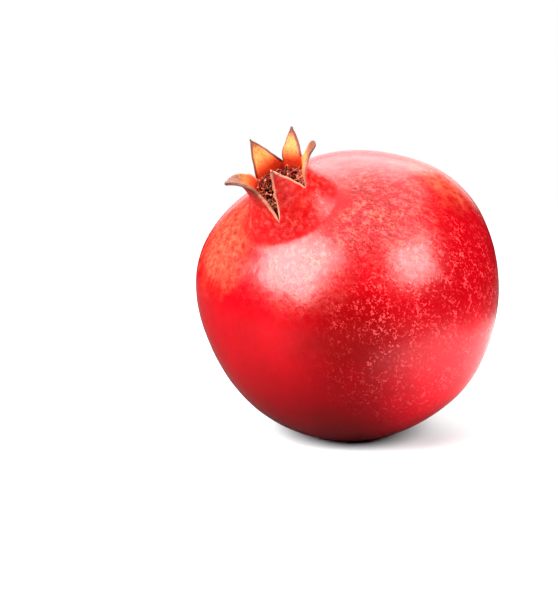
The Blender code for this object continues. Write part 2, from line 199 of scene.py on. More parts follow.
def upper_outline(bottom, top):
    """Radius and height between two heights at or above the equator, on a middling side."""
    steps = max(2, round((top - bottom) / OUTLINE_STEP))
    heights = [bottom + (top - bottom) * i / steps for i in range(steps + 1)]
    middling = math.radians(FLARE_AZIMUTH + 90.0)
    return [(outline_radius(height, middling), height) for height in heights]


def even_stations(points, count):
    """Resamples an outline at count equal steps along it, both ends included."""
    lengths = [0.0]
    for (r0, h0), (r1, h1) in zip(points, points[1:]):
        lengths.append(lengths[-1] + math.hypot(r1 - r0, h1 - h0))
    stations = []
    segment = 0
    for i in range(count + 1):
        wanted = lengths[-1] * i / count
        while segment < len(points) - 2 and lengths[segment + 1] < wanted:
            segment += 1
        share = (wanted - lengths[segment]) / (lengths[segment + 1] - lengths[segment])
        (r0, h0), (r1, h1) = points[segment], points[segment + 1]
        stations.append((r0 + (r1 - r0) * share, h0 + (h1 - h0) * share))
    return stations


def body_stations():
    """Every ring of the outside, from the stalk's socket to the collar under the notches."""
    lower = even_stations(stem_end_outline(), STEM_ROWS)
    side = even_stations(upper_outline(0.0, SHOULDER_HEIGHT), SIDE_ROWS)
    shoulder = even_stations(
        upper_outline(SHOULDER_HEIGHT, RIM_HEIGHT - COLLAR_DROP), SHOULDER_ROWS
    )
    return lower + side[1:] + shoulder[1:]


stations = body_stations()
print(len(stations), "rings from the stalk's socket to the collar")

# %% [markdown]
# ## Relief of the rind
# Besides its ribs and swellings, a real rind is never quite even: it dips by a tenth or two of a
# millimetre every few millimetres, which is what breaks up the edge of a highlight. A bump in the
# material could fake the shading, but real dents also show in the outline, so they are in the
# mesh. They only ever go inwards, which keeps the skin inside the solid's box.

# %% Relief of the rind
DENT_DEPTH = 0.16 * MM
DENT_SIZE = 7.0 * MM
RIPPLE_DEPTH = 0.05 * MM
RIPPLE_SIZE = 2.6 * MM


def rind_relief(point):
    """How far the rind stands out from its turned outline, by ribs, swellings and dents."""
    azimuth = math.atan2(point.y, point.x)
    latitude = math.atan2(point.z, math.hypot(point.x, point.y))
    ribs = math.cos(RIB_COUNT * (azimuth - math.radians(RIB_AZIMUTH)))
    relief = RIB_HEIGHT * ribs * math.cos(latitude) ** 2
    outwards = point.normalized()
    for swell_azimuth, swell_latitude, spread, height in SWELLINGS:
        away = math.degrees(outwards.angle(direction(swell_azimuth, swell_latitude)))
        relief += height * math.exp(-((away / spread) ** 2))
    if point.z < 0.0:
        fade = math.exp(-((math.hypot(point.x, point.y) / DIMPLE_RADIUS) ** 2))
    else:
        fade = smooth_step((point.z - RELIEF_TOP) / (CROWN_END_HEIGHT - RELIEF_TOP))
    return relief * (1.0 - fade)


def dents(point):
    """Inward dents of the skin, from 0 down to the full depth of both sizes together."""
    broad = waviness(point, DENT_SIZE, seed=3.0) - 1.0
    fine = waviness(point, RIPPLE_SIZE, seed=8.0) - 1.0
    return (DENT_DEPTH * broad + RIPPLE_DEPTH * fine) / 2.0


def rind_point(radius, azimuth, height):
    if height > SHOULDER_HEIGHT:
        radius = outline_radius(height, azimuth)
    point = ring_point(radius, azimuth, height)
    return point + point.normalized() * (rind_relief(point) + dents(point))


# %% [markdown]
# ## The lobes of the crown
# The crown is what is left of the flower's calyx: a short tube whose rim splits into pointed
# lobes. Each lobe here is a strip that follows a curve up its middle, leans or curls outwards, and
# narrows to its tip. One formula draws all five, and only their length, lean, curl and width
# differ. Modelling each by hand would give more freedom, but they would no longer match the solid.

# %% Values of the lobes
WALL = 1.5 * MM
CUP_DEPTH = 9.0 * MM
CUP_DISH = 0.6 * MM
CUP_FLOOR = RIM_HEIGHT - CUP_DEPTH

NOTCHES = [
    (6.0, -2.2 * MM),
    (60.0, 0.9 * MM),
    (120.0, 0.9 * MM),
    (234.0, 5.6 * MM),
    (302.0, 0.9 * MM),
]
NOTCH_SHARPNESS = 4.0

Lobe = namedtuple("Lobe", "length lean curl curl_from sideways belly tip rim dryness pale")
LOBES = [
    Lobe(10.1 * MM, 49.0, 0.0, 0.5, 0.0, 1.4, 0.5 * MM, 0.4 * MM, 0.25, 0.0),
    Lobe(10.2 * MM, 32.0, 6.0, 0.5, -1.0, 1.35, 0.4 * MM, 0.4 * MM, 0.35, 0.0),
    Lobe(15.5 * MM, 11.0, 46.0, 0.25, 22.0, 1.75, 0.9 * MM, 0.9 * MM, 1.0, 1.0),
    Lobe(11.7 * MM, 2.0, 6.0, 0.6, -2.0, 1.5, 0.5 * MM, 0.8 * MM, 0.4, 1.0),
    Lobe(9.7 * MM, 48.0, 34.0, 0.55, 12.0, 0.8, 2.0 * MM, 0.5 * MM, 0.55, 0.3),
]
ROUND_FROM = 0.82
ROUNDING = 0.8
LEAN_WITHIN = 0.4
SPINE_STEPS = 48
COLUMNS_PER_LOBE = 32
LOBE_ROWS = 30


def lobe_span(index):
    """Start azimuth, width and the two notch depths of a lobe."""
    start, start_depth = NOTCHES[index]
    end, end_depth = NOTCHES[(index + 1) % len(NOTCHES)]
    width = (end - start) % 360.0
    return math.radians(start), math.radians(width), start_depth, end_depth


def base_drop(index, across):
    """How far below the rim the foot of a lobe is, across it from -1 to 1."""
    _, _, start_depth, end_depth = lobe_span(index)
    depth = start_depth if across < 0.0 else end_depth
    return depth * abs(across) ** NOTCH_SHARPNESS


def spine(lobe):
    """Radius and height along the middle of a lobe, from the rim to the tip."""
    radius, height = neck_radius(RIM_HEIGHT), RIM_HEIGHT
    points = [(radius, height)]
    for i in range(SPINE_STEPS):
        share = (i + 0.5) / SPINE_STEPS
        heading = -math.atan(NECK_TAPER)
        heading += math.radians(lobe.lean) * smooth_step(share / LEAN_WITHIN)
        curled = (share - lobe.curl_from) / (1.0 - lobe.curl_from)
        heading += math.radians(lobe.curl) * smooth_step(curled)
        radius += math.sin(heading) * lobe.length / SPINE_STEPS
        height += math.cos(heading) * lobe.length / SPINE_STEPS
        points.append((radius, height))
    return points


def along_spine(points, share):
    place = clamp(share) * (len(points) - 1)
    i = min(int(place), len(points) - 2)
    (r0, h0), (r1, h1) = points[i], points[i + 1]
    return r0 + (r1 - r0) * (place - i), h0 + (h1 - h0) * (place - i)


print("lobes, mm long:", [round(lobe.length / MM, 1) for lobe in LOBES])

# %% [markdown]
# Dry lobes crumple. The side edges of each lobe wander a little in and out, and a lobe that has
# dried out also buckles along its length. Both come from smooth noise that grows from the foot of
# the lobe to its tip, so the foot still meets the neck exactly.

# %% Points of a lobe
EDGE_WANDER = 0.07
EDGE_WANDER_SIZE = 2.2 * MM
CRUMPLE_DEPTH = 0.55 * MM
CRUMPLE_SIZE = 3.2 * MM
MEAN_CRUMPLE = 0.5
LEAST_CRUMPLE = 0.25
LOBES_APART = 7.0
SIDES_APART = 3.0


def wall_thickness(index, across, climb):
    """Thickness of the calyx: thickest low in the middle of a lobe, thin at its edges."""
    return WALL + (LOBES[index].rim - WALL) * max(climb, across * across)


def lobe_reach(index, across, distance):
    """Half the width of a lobe at a distance up from the rim."""
    lobe = LOBES[index]
    _, width, start_depth, end_depth = lobe_span(index)
    depth = start_depth if across < 0.0 else end_depth
    climbed = clamp((distance + depth) / (lobe.length + depth))
    half_width = neck_radius(RIM_HEIGHT) * width / 2.0
    reach = half_width * (1.0 - climbed**lobe.belly)
    which_side = math.copysign(SIDES_APART, across)
    side = Vector((index * LOBES_APART, which_side, distance / EDGE_WANDER_SIZE))
    wander = 1.0 - EDGE_WANDER * smooth_step(2.0 * climbed) * (1.0 + noise.noise(side))
    rounding = clamp((climbed - ROUND_FROM) / (1.0 - ROUND_FROM))
    return max(reach * wander, lobe.tip) * math.sqrt(1.0 - ROUNDING * rounding * rounding)


def lobe_point(index, spine_points, across, distance):
    """Outside of a lobe. Distance is measured up from the rim, and is below 0 in a notch."""
    lobe = LOBES[index]
    start, width, _, _ = lobe_span(index)
    share = distance / lobe.length
    radius, height = along_spine(spine_points, share)
    azimuth = start + width / 2.0 + across * lobe_reach(index, across, distance) / radius
    azimuth += math.radians(lobe.sideways) * smooth_step(share)
    if distance < 0.0:
        height = RIM_HEIGHT + distance
        radius = neck_radius(height) + neck_flare(height, azimuth)
    point = ring_point(radius, azimuth, height)
    buckle = waviness(point, CRUMPLE_SIZE, seed=5.0 * index) * lobe.dryness * smooth_step(share)
    inwards = CRUMPLE_DEPTH * clamp(MEAN_CRUMPLE + buckle, LEAST_CRUMPLE) * clamp(share)
    return point - ring_point(inwards, azimuth, 0.0)


# %% [markdown]
# ## Building the mesh row by row
# The whole fruit is one closed skin: socket, body, neck, lobes, and the inside of the cup. It
# could be modelled by hand and sculpted, but rows of points are exact, and each point can carry
# notes for the material: how far up a lobe it is, whether it faces into the cup, how near a free
# edge it lies and how dry it has become. Blender calls such notes attributes.

# %% A cage that carries notes
Note = namedtuple("Note", "inside climb edge dry pale")
PLAIN = Note(0.0, 0.0, 0.0, 0.0, 0.0)


class Cage:
    """Collects points, their notes and faces, row by row, for one mesh."""

    def __init__(self):
        self.points = []
        self.notes = []
        self.faces = []

    def row(self, points, notes=None):
        first = len(self.points)
        self.points.extend(points)
        self.notes.extend(notes or [PLAIN] * len(points))
        return list(range(first, len(self.points)))

    def band(self, lower, upper, closed=True):
        count = len(lower)
        for i in range(count if closed else count - 1):
            j = (i + 1) % count
            self.faces.append((lower[i], lower[j], upper[j], upper[i]))

    def grow(self, below, points, note=PLAIN):
        """Adds a closed row and the band of faces that joins it to the row below."""
        ring = self.row(points, [note] * len(points))
        self.band(below, ring)
        return ring

    def fan(self, ring, centre, note=PLAIN):
        (middle,) = self.row([centre], [note])
        for i in range(len(ring)):
            self.faces.append((ring[i], ring[(i + 1) % len(ring)], middle))


# %% [markdown]
# A lobe has an outer and an inner sheet. The inner one lies a wall's thickness behind the outer
# one, along its normal, and a narrow strip closes the two along both sides and over the tip. The
# strip has a row of points down its middle, so that the edge can be rounded.

# %% The two sheets of a lobe
EDGE_BAND = 0.9 * MM
NORMAL_STEP = 0.02
DRY_TIP_FROM = 0.6
DRY_TIP = 0.55
PALE_FRESHNESS = 0.8


def lobe_note(index, across, climb, distance, inside):
    reach = lobe_reach(index, across, distance)
    to_side = reach * (1.0 - abs(across))
    to_tip = LOBES[index].length * (1.0 - climb)
    edge = 1.0 - clamp(min(to_side, to_tip) / EDGE_BAND)
    tip = DRY_TIP * smooth_step((climb - DRY_TIP_FROM) / (1.0 - DRY_TIP_FROM))
    tip *= 1.0 - PALE_FRESHNESS * LOBES[index].pale
    return Note(inside, climb, edge, LOBES[index].dryness * climb + tip, LOBES[index].pale)


def lobe_grid(index):
    """Rows of (outer point, inner point, climb, across, distance) of a lobe above its foot."""
    lobe = LOBES[index]
    spine_points = spine(lobe)
    rows = []
    for row in range(1, LOBE_ROWS + 1):
        climb = row / LOBE_ROWS
        cells = []
        for column in range(COLUMNS_PER_LOBE + 1):
            across = 2.0 * column / COLUMNS_PER_LOBE - 1.0
            foot = -base_drop(index, across)
            distance = foot + (lobe.length - foot) * climb
            point = lobe_point(index, spine_points, across, distance)
            step = NORMAL_STEP * lobe.length
            along = lobe_point(index, spine_points, across, min(distance + step, lobe.length))
            along -= lobe_point(index, spine_points, across, distance - step)
            aside = lobe_point(index, spine_points, across + NORMAL_STEP, distance)
            aside -= lobe_point(index, spine_points, across - NORMAL_STEP, distance)
            normal = aside.cross(along).normalized()
            inner = point - normal * wall_thickness(index, across, climb)
            cells.append((point, inner, climb, across, distance))
        rows.append(cells)
    return rows


def add_lobe(cage, index, outer, inner, middle):
    """Adds one lobe above its foot. outer and inner are rows, middle the two edge points."""
    for cells in lobe_grid(index):
        outer_notes = [lobe_note(index, across, climb, d, 0.0) for _, _, climb, across, d in cells]
        inner_notes = [note._replace(inside=1.0) for note in outer_notes]
        next_outer = cage.row([cell[0] for cell in cells], outer_notes)
        next_inner = cage.row([cell[1] for cell in cells], inner_notes)
        cage.band(outer, next_outer, closed=False)
        cage.band(next_inner, inner, closed=False)
        ends = [(cells[side][0] + cells[side][1]) / 2.0 for side in (0, -1)]
        next_middle = cage.row(ends, [outer_notes[side]._replace(inside=0.5) for side in (0, -1)])
        cage.faces.append((outer[0], next_outer[0], next_middle[0], middle[0]))
        cage.faces.append((middle[0], next_middle[0], next_inner[0], inner[0]))
        cage.faces.append((middle[1], next_middle[1], next_outer[-1], outer[-1]))
        cage.faces.append((inner[-1], next_inner[-1], next_middle[1], middle[1]))
        outer, inner, middle = next_outer, next_inner, next_middle
    tip_points = [(cage.points[a] + cage.points[b]) / 2.0 for a, b in zip(outer, inner)][1:-1]
    tip_note = cage.notes[outer[1]]._replace(inside=0.5)
    over = [middle[0], *cage.row(tip_points, [tip_note] * len(tip_points)), middle[1]]
    cage.band(outer, over, closed=False)
    cage.band(over, inner, closed=False)


# %% [markdown]
# The rest of the skin is rings: the socket's floor, the body, the neck down to whose notches the
# lobes reach, and the cup inside. Neighbouring lobes share the point where their notch ends.

# %% The whole skin
NECK_ROWS = 12
CUP_ROWS = 12
FLOOR_SHARES = (0.9, 0.7, 0.45, 0.2)


def cup_radius(height):
    """Radius of the inside of the calyx cup, where its wall has its full thickness."""
    return neck_radius(height) - WALL


def fruit_cage():
    cage = Cage()
    columns = [
        (lobe, 2.0 * column / COLUMNS_PER_LOBE - 1.0)
        for lobe in range(len(LOBES))
        for column in range(COLUMNS_PER_LOBE)
    ]
    azimuths = []
    for lobe, across in columns:
        start, width, _, _ = lobe_span(lobe)
        azimuths.append(start + width * (across + 1.0) / 2.0)

    socket_floor = stations[0][1] + SOCKET_DEPTH
    below = cage.row([ring_point(SOCKET_RADIUS, a, socket_floor) for a in azimuths])
    cage.fan(below, on_axis(socket_floor))
    for radius, height in stations:
        below = cage.grow(below, [rind_point(radius, a, height) for a in azimuths])

    collar_height = stations[-1][1]
    feet = [RIM_HEIGHT - base_drop(*column) for column in columns]
    for i in range(1, NECK_ROWS + 1):
        points = []
        for azimuth, foot in zip(azimuths, feet):
            height = collar_height + (foot - collar_height) * i / NECK_ROWS
            radius = neck_radius(height) + neck_flare(height, azimuth)
            point = ring_point(radius, azimuth, height)
            points.append(point + point.normalized() * dents(point) * (1.0 - i / NECK_ROWS))
        below = cage.grow(below, points)
    outer_foot = below

    within = PLAIN._replace(inside=1.0)
    inner_foot = []
    for i in range(CUP_ROWS + 1):
        share = i / CUP_ROWS
        points = []
        for (index, across), azimuth, foot in zip(columns, azimuths, feet):
            height = foot + (CUP_FLOOR - foot) * share
            thinner = WALL - wall_thickness(index, across, 0.0) + neck_flare(foot, azimuth)
            radius = cup_radius(height) + thinner * (1.0 - share)
            points.append(ring_point(radius, azimuth, height))
        if inner_foot:
            below = cage.grow(below, points, within)
        else:
            below = inner_foot = cage.row(points, [within] * len(points))
    for share in FLOOR_SHARES:
        radius = cup_radius(CUP_FLOOR) * share
        height = CUP_FLOOR - CUP_DISH * (1.0 - share)
        below = cage.grow(below, [ring_point(radius, a, height) for a in azimuths], within)
    cage.fan(below, on_axis(CUP_FLOOR - CUP_DISH), within)

    notch_middles = []
    for index in range(len(LOBES)):
        first = index * COLUMNS_PER_LOBE
        middle = (cage.points[outer_foot[first]] + cage.points[inner_foot[first]]) / 2.0
        notch_middles.extend(cage.row([middle], [Note(0.5, 0.0, 1.0, 0.0, LOBES[index].pale)]))
    for index in range(len(LOBES)):
        first = index * COLUMNS_PER_LOBE
        own = [(first + i) % len(columns) for i in range(COLUMNS_PER_LOBE + 1)]
        middle = [notch_middles[index], notch_middles[(index + 1) % len(LOBES)]]
        add_lobe(cage, index, [outer_foot[i] for i in own], [inner_foot[i] for i in own], middle)
    return cage


# %% [markdown]
# ## From cage to piece
# Each piece is laid down with the same turn and shift as the solid. Points that would sink below
# the table are pressed up to it, which gives the small flat spot that a ripe fruit rests on. The
# solid is cut into larger faces, so this finer mesh is trimmed a hair to stay inside it. A
# subdivision surface then rounds the thin edges of the lobes.

# %% Turning a cage into a piece
TRIM = 0.9985
ROUNDING_LEVELS = 1


def put_in_scene(name, data):
    made = bpy.data.objects.new(name, data)
    bpy.context.scene.collection.objects.link(made)
    return made


def lay_down(cage, name):
    """Makes a mesh object from a cage, in its place on the table, with its notes."""
    mesh = bpy.data.meshes.new(name)
    mesh.from_pydata(cage.points, [], cage.faces)
    mesh.transform(laid @ Matrix.Scale(TRIM, 4))
    for vert in mesh.vertices:
        vert.co.z = max(vert.co.z, 0.0)
    shape = bmesh.new()
    shape.from_mesh(mesh)
    bmesh.ops.recalc_face_normals(shape, faces=shape.faces)
    shape.to_mesh(mesh)
    shape.free()
    for place, label in enumerate(Note._fields):
        values = mesh.attributes.new(label, "FLOAT", "POINT")
        values.data.foreach_set("value", [note[place] for note in cage.notes])
    mesh.shade_smooth()
    mesh.update()
    return put_in_scene(name, mesh)


rind = lay_down(fruit_cage(), "rind_skin")
rounding = rind.modifiers.new("rounding", "SUBSURF")
rounding.levels = ROUNDING_LEVELS
rounding.render_levels = ROUNDING_LEVELS
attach(rind, "root")
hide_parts("fruit")
print("rind:", len(rind.data.polygons), "faces before rounding")

# %% [markdown]
# ## The dried stamens
# The flower's stamens stay in the cup and dry there: a few hundred curled brown filaments, each
# with a small tan anther. Hair particles would be quick to add, but they are not a mesh, and each
# would be as smooth as wire. Here every filament is a thin tube along a path that wanders, kept
# inside the cup wall. Some stand on the floor and the rest grow from the wall, as on the real
# fruit.

# %% Values of the stamens
FLOOR_STAMENS = 190
WALL_STAMENS = 190
STAMEN_SEED = 5
STAMEN_STEPS = 11
STAMEN_SIDES = 6
FLOOR_STAMEN_LENGTH = 9.4 * MM
WALL_STAMEN_LENGTH = 6.0 * MM
FILAMENT_RADIUS = 0.17 * MM
ANTHER_PROFILE = [(0.25, 1.1), (0.5, 1.8), (0.5, 2.0), (0.45, 1.6), (0.3, 0.7)]
ANTHER_SHARE = 0.35
CLEARANCE = 0.3 * MM
GOLDEN_ANGLE = math.radians(137.508)
LOWEST_WALL_ROOT = 2.5 * MM
HIGHEST_WALL_ROOT = 7.2 * MM
WANDER = 0.55
TURN_CHANGE = 0.5
TOP_ABOVE_RIM = 1.6 * MM
TUBE_ROOM = 3.0
TUBE_SIDE = Vector((0.31, 0.87, 0.38))
FOOT_GIRTH = 1.25
TAPER = 0.4


def keep_in_cup(point):
    room = cup_radius(point.z) - CLEARANCE - TUBE_ROOM * FILAMENT_RADIUS
    flat = math.hypot(point.x, point.y)
    if flat > room:
        point.x *= room / flat
        point.y *= room / flat
    point.z = min(point.z, RIM_HEIGHT + TOP_ABOVE_RIM)
    return point


def random_vector(rng):
    return Vector([rng.uniform(-1.0, 1.0) for _ in range(3)])


def curling_path(rng, root, heading, length):
    """A path that leaves its root along a heading and turns a little more at each step."""
    path = [root.copy()]
    turn_axis = random_vector(rng)
    place = root.copy()
    for _ in range(STAMEN_STEPS):
        turn_axis = (turn_axis + random_vector(rng) * TURN_CHANGE).normalized()
        heading = (heading + heading.cross(turn_axis) * WANDER).normalized()
        place = keep_in_cup(place + heading * (length / STAMEN_STEPS))
        path.append(place.copy())
    return path


def add_tube(cage, path, radii, notes):
    rings = []
    for i, (centre, radius) in enumerate(zip(path, radii)):
        ahead = path[min(i + 1, len(path) - 1)] - path[max(i - 1, 0)]
        first = ahead.cross(TUBE_SIDE).normalized()
        second = ahead.cross(first).normalized()
        ring = []
        for side in range(STAMEN_SIDES):
            angle = 2.0 * math.pi * side / STAMEN_SIDES
            ring.append(centre + (first * math.cos(angle) + second * math.sin(angle)) * radius)
        rings.append(cage.row(ring, [notes[i]] * STAMEN_SIDES))
    for lower, upper in zip(rings, rings[1:]):
        cage.band(lower, upper)
    cage.faces.append(tuple(reversed(rings[0])))
    cage.faces.append(tuple(rings[-1]))


def add_stamen(cage, rng, root, heading, length):
    """A filament and its anther. Its notes say how far along it is, and how dark it has dried."""
    path = curling_path(rng, root, heading, length)
    girths = [FOOT_GIRTH - TAPER * i / STAMEN_STEPS for i in range(len(path))]
    radii = [FILAMENT_RADIUS * girth for girth in girths]
    dark = rng.random()
    notes = [Note(0.0, 0.0, i / STAMEN_STEPS, dark, 0.0) for i in range(len(path))]
    ahead = (path[-1] - path[-2]).normalized()
    if rng.random() < ANTHER_SHARE:
        for step, girth in ANTHER_PROFILE:
            path.append(path[-1] + ahead * step * FILAMENT_RADIUS * 2.0)
            radii.append(FILAMENT_RADIUS * girth)
            notes.append(Note(0.0, 1.0, 1.0, dark, 0.0))
    add_tube(cage, path, radii, notes)


# %% [markdown]
# The filaments stand in a mat of broken ones, which closes the view to the floor of the cup. The
# mat is a lumpy dished disc in the darkest filament brown, which is partly the tangle's own colour
# and partly painted shade deep in it.

# %% Build the stamens
MAT_RINGS = 14
MAT_COLUMNS = 48
MAT_LIFT = 1.1 * MM
MAT_LUMP = 0.7 * MM
MAT_LUMP_SIZE = 0.9 * MM
FLOOR_LEAN = 0.4
FLOOR_LENGTHS = (0.6, 1.0)
WALL_SWING = 0.6
WALL_RISE = (0.2, 1.6)
WALL_LENGTHS = (0.55, 1.0)


def add_mat(cage):
    """A closed lumpy disc that lies just above the floor of the cup."""
    edge = cup_radius(CUP_FLOOR) - CLEARANCE
    # The mat takes the darkest brown: partly painted shade.
    dark = PLAIN._replace(dry=1.0)
    tops, unders = [], []
    for ring in range(1, MAT_RINGS + 1):
        radius = edge * ring / MAT_RINGS
        top, under = [], []
        for column in range(MAT_COLUMNS):
            point = ring_point(radius, 2.0 * math.pi * column / MAT_COLUMNS, CUP_FLOOR)
            lump = MAT_LUMP * (0.5 + 0.5 * waviness(point, MAT_LUMP_SIZE, seed=2.0))
            under.append(point + on_axis(CLEARANCE))
            top.append(point + on_axis(MAT_LIFT + lump))
        tops.append(cage.row(top, [dark] * MAT_COLUMNS))
        unders.append(cage.row(under, [dark] * MAT_COLUMNS))
    for inner, outer in zip(tops, tops[1:]):
        cage.band(outer, inner)
    for inner, outer in zip(unders, unders[1:]):
        cage.band(inner, outer)
    cage.band(unders[-1], tops[-1])
    cage.fan(tops[0], on_axis(CUP_FLOOR + MAT_LIFT), dark)
    cage.fan(list(reversed(unders[0])), on_axis(CUP_FLOOR + CLEARANCE), dark)


def stamen_cage():
    cage = Cage()
    rng = random.Random(STAMEN_SEED)
    add_mat(cage)
    spread = cup_radius(CUP_FLOOR) - 2.0 * CLEARANCE
    for number in range(FLOOR_STAMENS):
        distance = spread * math.sqrt((number + 0.5) / FLOOR_STAMENS)
        root = ring_point(distance, number * GOLDEN_ANGLE, CUP_FLOOR + MAT_LIFT)
        aside = [rng.uniform(-FLOOR_LEAN, FLOOR_LEAN) for _ in range(2)]
        lean = Vector((*aside, 1.0))
        length = FLOOR_STAMEN_LENGTH * rng.uniform(*FLOOR_LENGTHS)
        add_stamen(cage, rng, root, lean.normalized(), length)
    for number in range(WALL_STAMENS):
        height = CUP_FLOOR + rng.uniform(LOWEST_WALL_ROOT, HIGHEST_WALL_ROOT)
        azimuth = number * GOLDEN_ANGLE
        root = ring_point(cup_radius(height) - CLEARANCE, azimuth, height)
        swing = rng.uniform(-WALL_SWING, WALL_SWING)
        inwards = ring_point(-1.0, azimuth + swing, rng.uniform(*WALL_RISE))
        length = WALL_STAMEN_LENGTH * rng.uniform(*WALL_LENGTHS)
        add_stamen(cage, rng, root, inwards.normalized(), length)
    return cage


stamens = lay_down(stamen_cage(), "stamen_tangle")
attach(stamens, "root")
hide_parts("stamens")
print("stamens:", len(stamens.data.polygons), "faces")

# %% [markdown]
# ## The stalk
# Where the fruit was picked, a few millimetres of woody stalk are left, clipped across. A lathe
# profile gives its swelling at the joint, and ridges cut into it by noise that is stretched along
# the stalk give the bark. The clipped end keeps a flat face with a slightly crushed rim.

# %% Build the stalk
STALK_RADIUS = 2.5 * MM
STALK_LENGTH = 5.0 * MM
STALK_PROFILE = [(0.0, 0.95), (0.25, 1.0), (0.45, 1.06), (0.6, 0.92), (0.8, 0.86), (1.0, 0.9)]
STALK_COLUMNS = 56
STALK_ROWS = 36
STALK_END_RINGS = 8
RIDGE_DEPTH = 0.22 * MM
RIDGE_WIDTH = 0.55 * MM
RIDGE_STRETCH = 5.0
CRUSH_HEIGHT = 0.12 * MM
CRUSH_SIZE = 0.8 * MM


def stalk_radius(share):
    """Radius of the stalk at a share of its length, eased between the points of its profile."""
    for (s0, r0), (s1, r1) in zip(STALK_PROFILE, STALK_PROFILE[1:]):
        if share <= s1:
            return STALK_RADIUS * (r0 + (r1 - r0) * smooth_step((share - s0) / (s1 - s0)))
    return STALK_RADIUS * STALK_PROFILE[-1][1]


def bark_point(azimuth, share, root):
    radius = stalk_radius(share)
    height = root - STALK_LENGTH * share
    point = ring_point(radius, azimuth, height)
    stretched = Vector((point.x, point.y, point.z / RIDGE_STRETCH))
    ridge = 0.5 - 0.5 * waviness(stretched, RIDGE_WIDTH, seed=1.0)
    return ring_point(radius - RIDGE_DEPTH * ridge, azimuth, height)


def stalk_cage():
    cage = Cage()
    root = stations[0][1] + SOCKET_DEPTH - CLEARANCE
    azimuths = [2.0 * math.pi * i / STALK_COLUMNS for i in range(STALK_COLUMNS)]
    first = below = cage.row([bark_point(a, 0.0, root) for a in azimuths])
    cage.fan(below, on_axis(root))
    for row in range(1, STALK_ROWS + 1):
        ring = cage.row([bark_point(a, row / STALK_ROWS, root) for a in azimuths])
        cage.band(ring, below)
        below = ring
    end = root - STALK_LENGTH
    clipped = PLAIN._replace(inside=1.0)
    for ring_number in range(1, STALK_END_RINGS):
        share = 1.0 - ring_number / STALK_END_RINGS
        points = []
        for azimuth in azimuths:
            point = ring_point(stalk_radius(1.0) * share, azimuth, end)
            crush = 1.0 + waviness(point, CRUSH_SIZE, seed=6.0)
            point.z += CRUSH_HEIGHT * crush * (1.0 - share)
            points.append(point)
        ring = cage.row(points, [clipped] * STALK_COLUMNS)
        cage.band(ring, below)
        below = ring
    cage.fan(list(reversed(below)), on_axis(end + CRUSH_HEIGHT), clipped)
    return cage


stalk = lay_down(stalk_cage(), "clipped_stalk")
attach(stalk, "root")
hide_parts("stalk")
print("stalk:", len(stalk.data.polygons), "faces")

# %% [markdown]
# ## Wiring materials in code
# Every finish here is made of shader nodes, with no pictures. Adding nodes by hand in code takes
# many lines, so a small helper adds a node, sets it and joins its inputs in one call. What a node
# puts out comes back as a value that adds, subtracts and multiplies like a plain number, and each
# such sum adds a math node of its own.

# %% A helper that wires nodes
def tone(red, green, blue):
    """A colour as an image editor shows it, 0 to 255, as the linear values that Blender uses."""
    linear = []
    for level in (red, green, blue):
        share = level / 255.0
        linear.append(share / 12.92 if share <= 0.04045 else ((share + 0.055) / 1.055) ** 2.4)
    return (*linear, 1.0)


class Value:
    """What a node puts out. A sum with it adds a math node to the same tree."""

    def __init__(self, wiring, socket):
        self.wiring = wiring
        self.socket = socket

    def __add__(self, other):
        return self.wiring.math("ADD", self, other)

    def __sub__(self, other):
        return self.wiring.math("SUBTRACT", self, other)

    def __rsub__(self, other):
        return self.wiring.math("SUBTRACT", other, self)

    def __mul__(self, other):
        return self.wiring.math("MULTIPLY", self, other)

    def __abs__(self):
        return self.wiring.math("ABSOLUTE", self)


class Wiring:
    """Adds nodes to one tree and joins them up."""

    def __init__(self, tree):
        self.tree = tree

    def join(self, value, socket):
        self.tree.links.new(value.socket, socket)

    def add(self, kind, inputs, **settings):
        """Adds a node and hands back its outputs, by number and by name."""
        made = self.tree.nodes.new(kind)
        for name, value in settings.items():
            setattr(made, name, value)
        for name, value in inputs.items():
            if isinstance(value, Value):
                self.join(value, made.inputs[name])
            else:
                made.inputs[name].default_value = value
        outputs = dict(enumerate(Value(self, socket) for socket in made.outputs))
        outputs.update({socket.name: Value(self, socket) for socket in made.outputs})
        return outputs

    def math(self, operation, first, second=0.0, clamped=False):
        inputs = {0: first, 1: second}
        return self.add("ShaderNodeMath", inputs, operation=operation, use_clamp=clamped)[0]

    def larger(self, first, *others):
        for other in others:
            first = self.math("MAXIMUM", first, other)
        return first

    def vector(self, operation, first, second=(0.0, 0.0, 0.0)):
        made = self.add("ShaderNodeVectorMath", {0: first, 1: second}, operation=operation)
        return made["Value"] if operation in ("DOT_PRODUCT", "LENGTH") else made[0]

    def scaled(self, vector, factor):
        return self.add("ShaderNodeVectorMath", {0: vector, "Scale": factor}, operation="SCALE")[0]

    def step(self, value, low, high, strength=1.0):
        """0 below low and strength above high, eased between. With low above high it falls."""
        inputs = {"Value": value, "From Min": low, "From Max": high, "To Max": strength}
        return self.add("ShaderNodeMapRange", inputs, interpolation_type="SMOOTHSTEP")[0]

    def blend(self, factor, first, second):
        return self.add("ShaderNodeMix", {0: factor, 6: first, 7: second}, data_type="RGBA")[2]

    def paint(self, under, *layers):
        """Lays colours over the first one, each through its own mask."""
        for mask, colour in layers:
            under = self.blend(mask, under, colour)
        return under

    def noise(self, vector, scale, detail=2.0, roughness=0.5, out=0):
        inputs = {"Vector": vector, "Scale": scale, "Detail": detail, "Roughness": roughness}
        return self.add("ShaderNodeTexNoise", inputs)[out]

    def note(self, name):
        return self.add("ShaderNodeAttribute", {}, attribute_name=name)["Fac"]

    def group(self, group, inputs):
        return self.add("ShaderNodeGroup", inputs, node_tree=group)


# %% [markdown]
# A group is made with its named inputs and outputs, and a material with the shader that it ends
# in. Each finish of the fruit feeds three of that shader's sockets: colour, roughness and the
# fine relief.

# %% New groups and materials
FLOAT, VECTOR = "NodeSocketFloat", "NodeSocketVector"
ORIGIN = (0.0, 0.0, 0.0)
FLAT = (1.0, 1.0, 0.0)


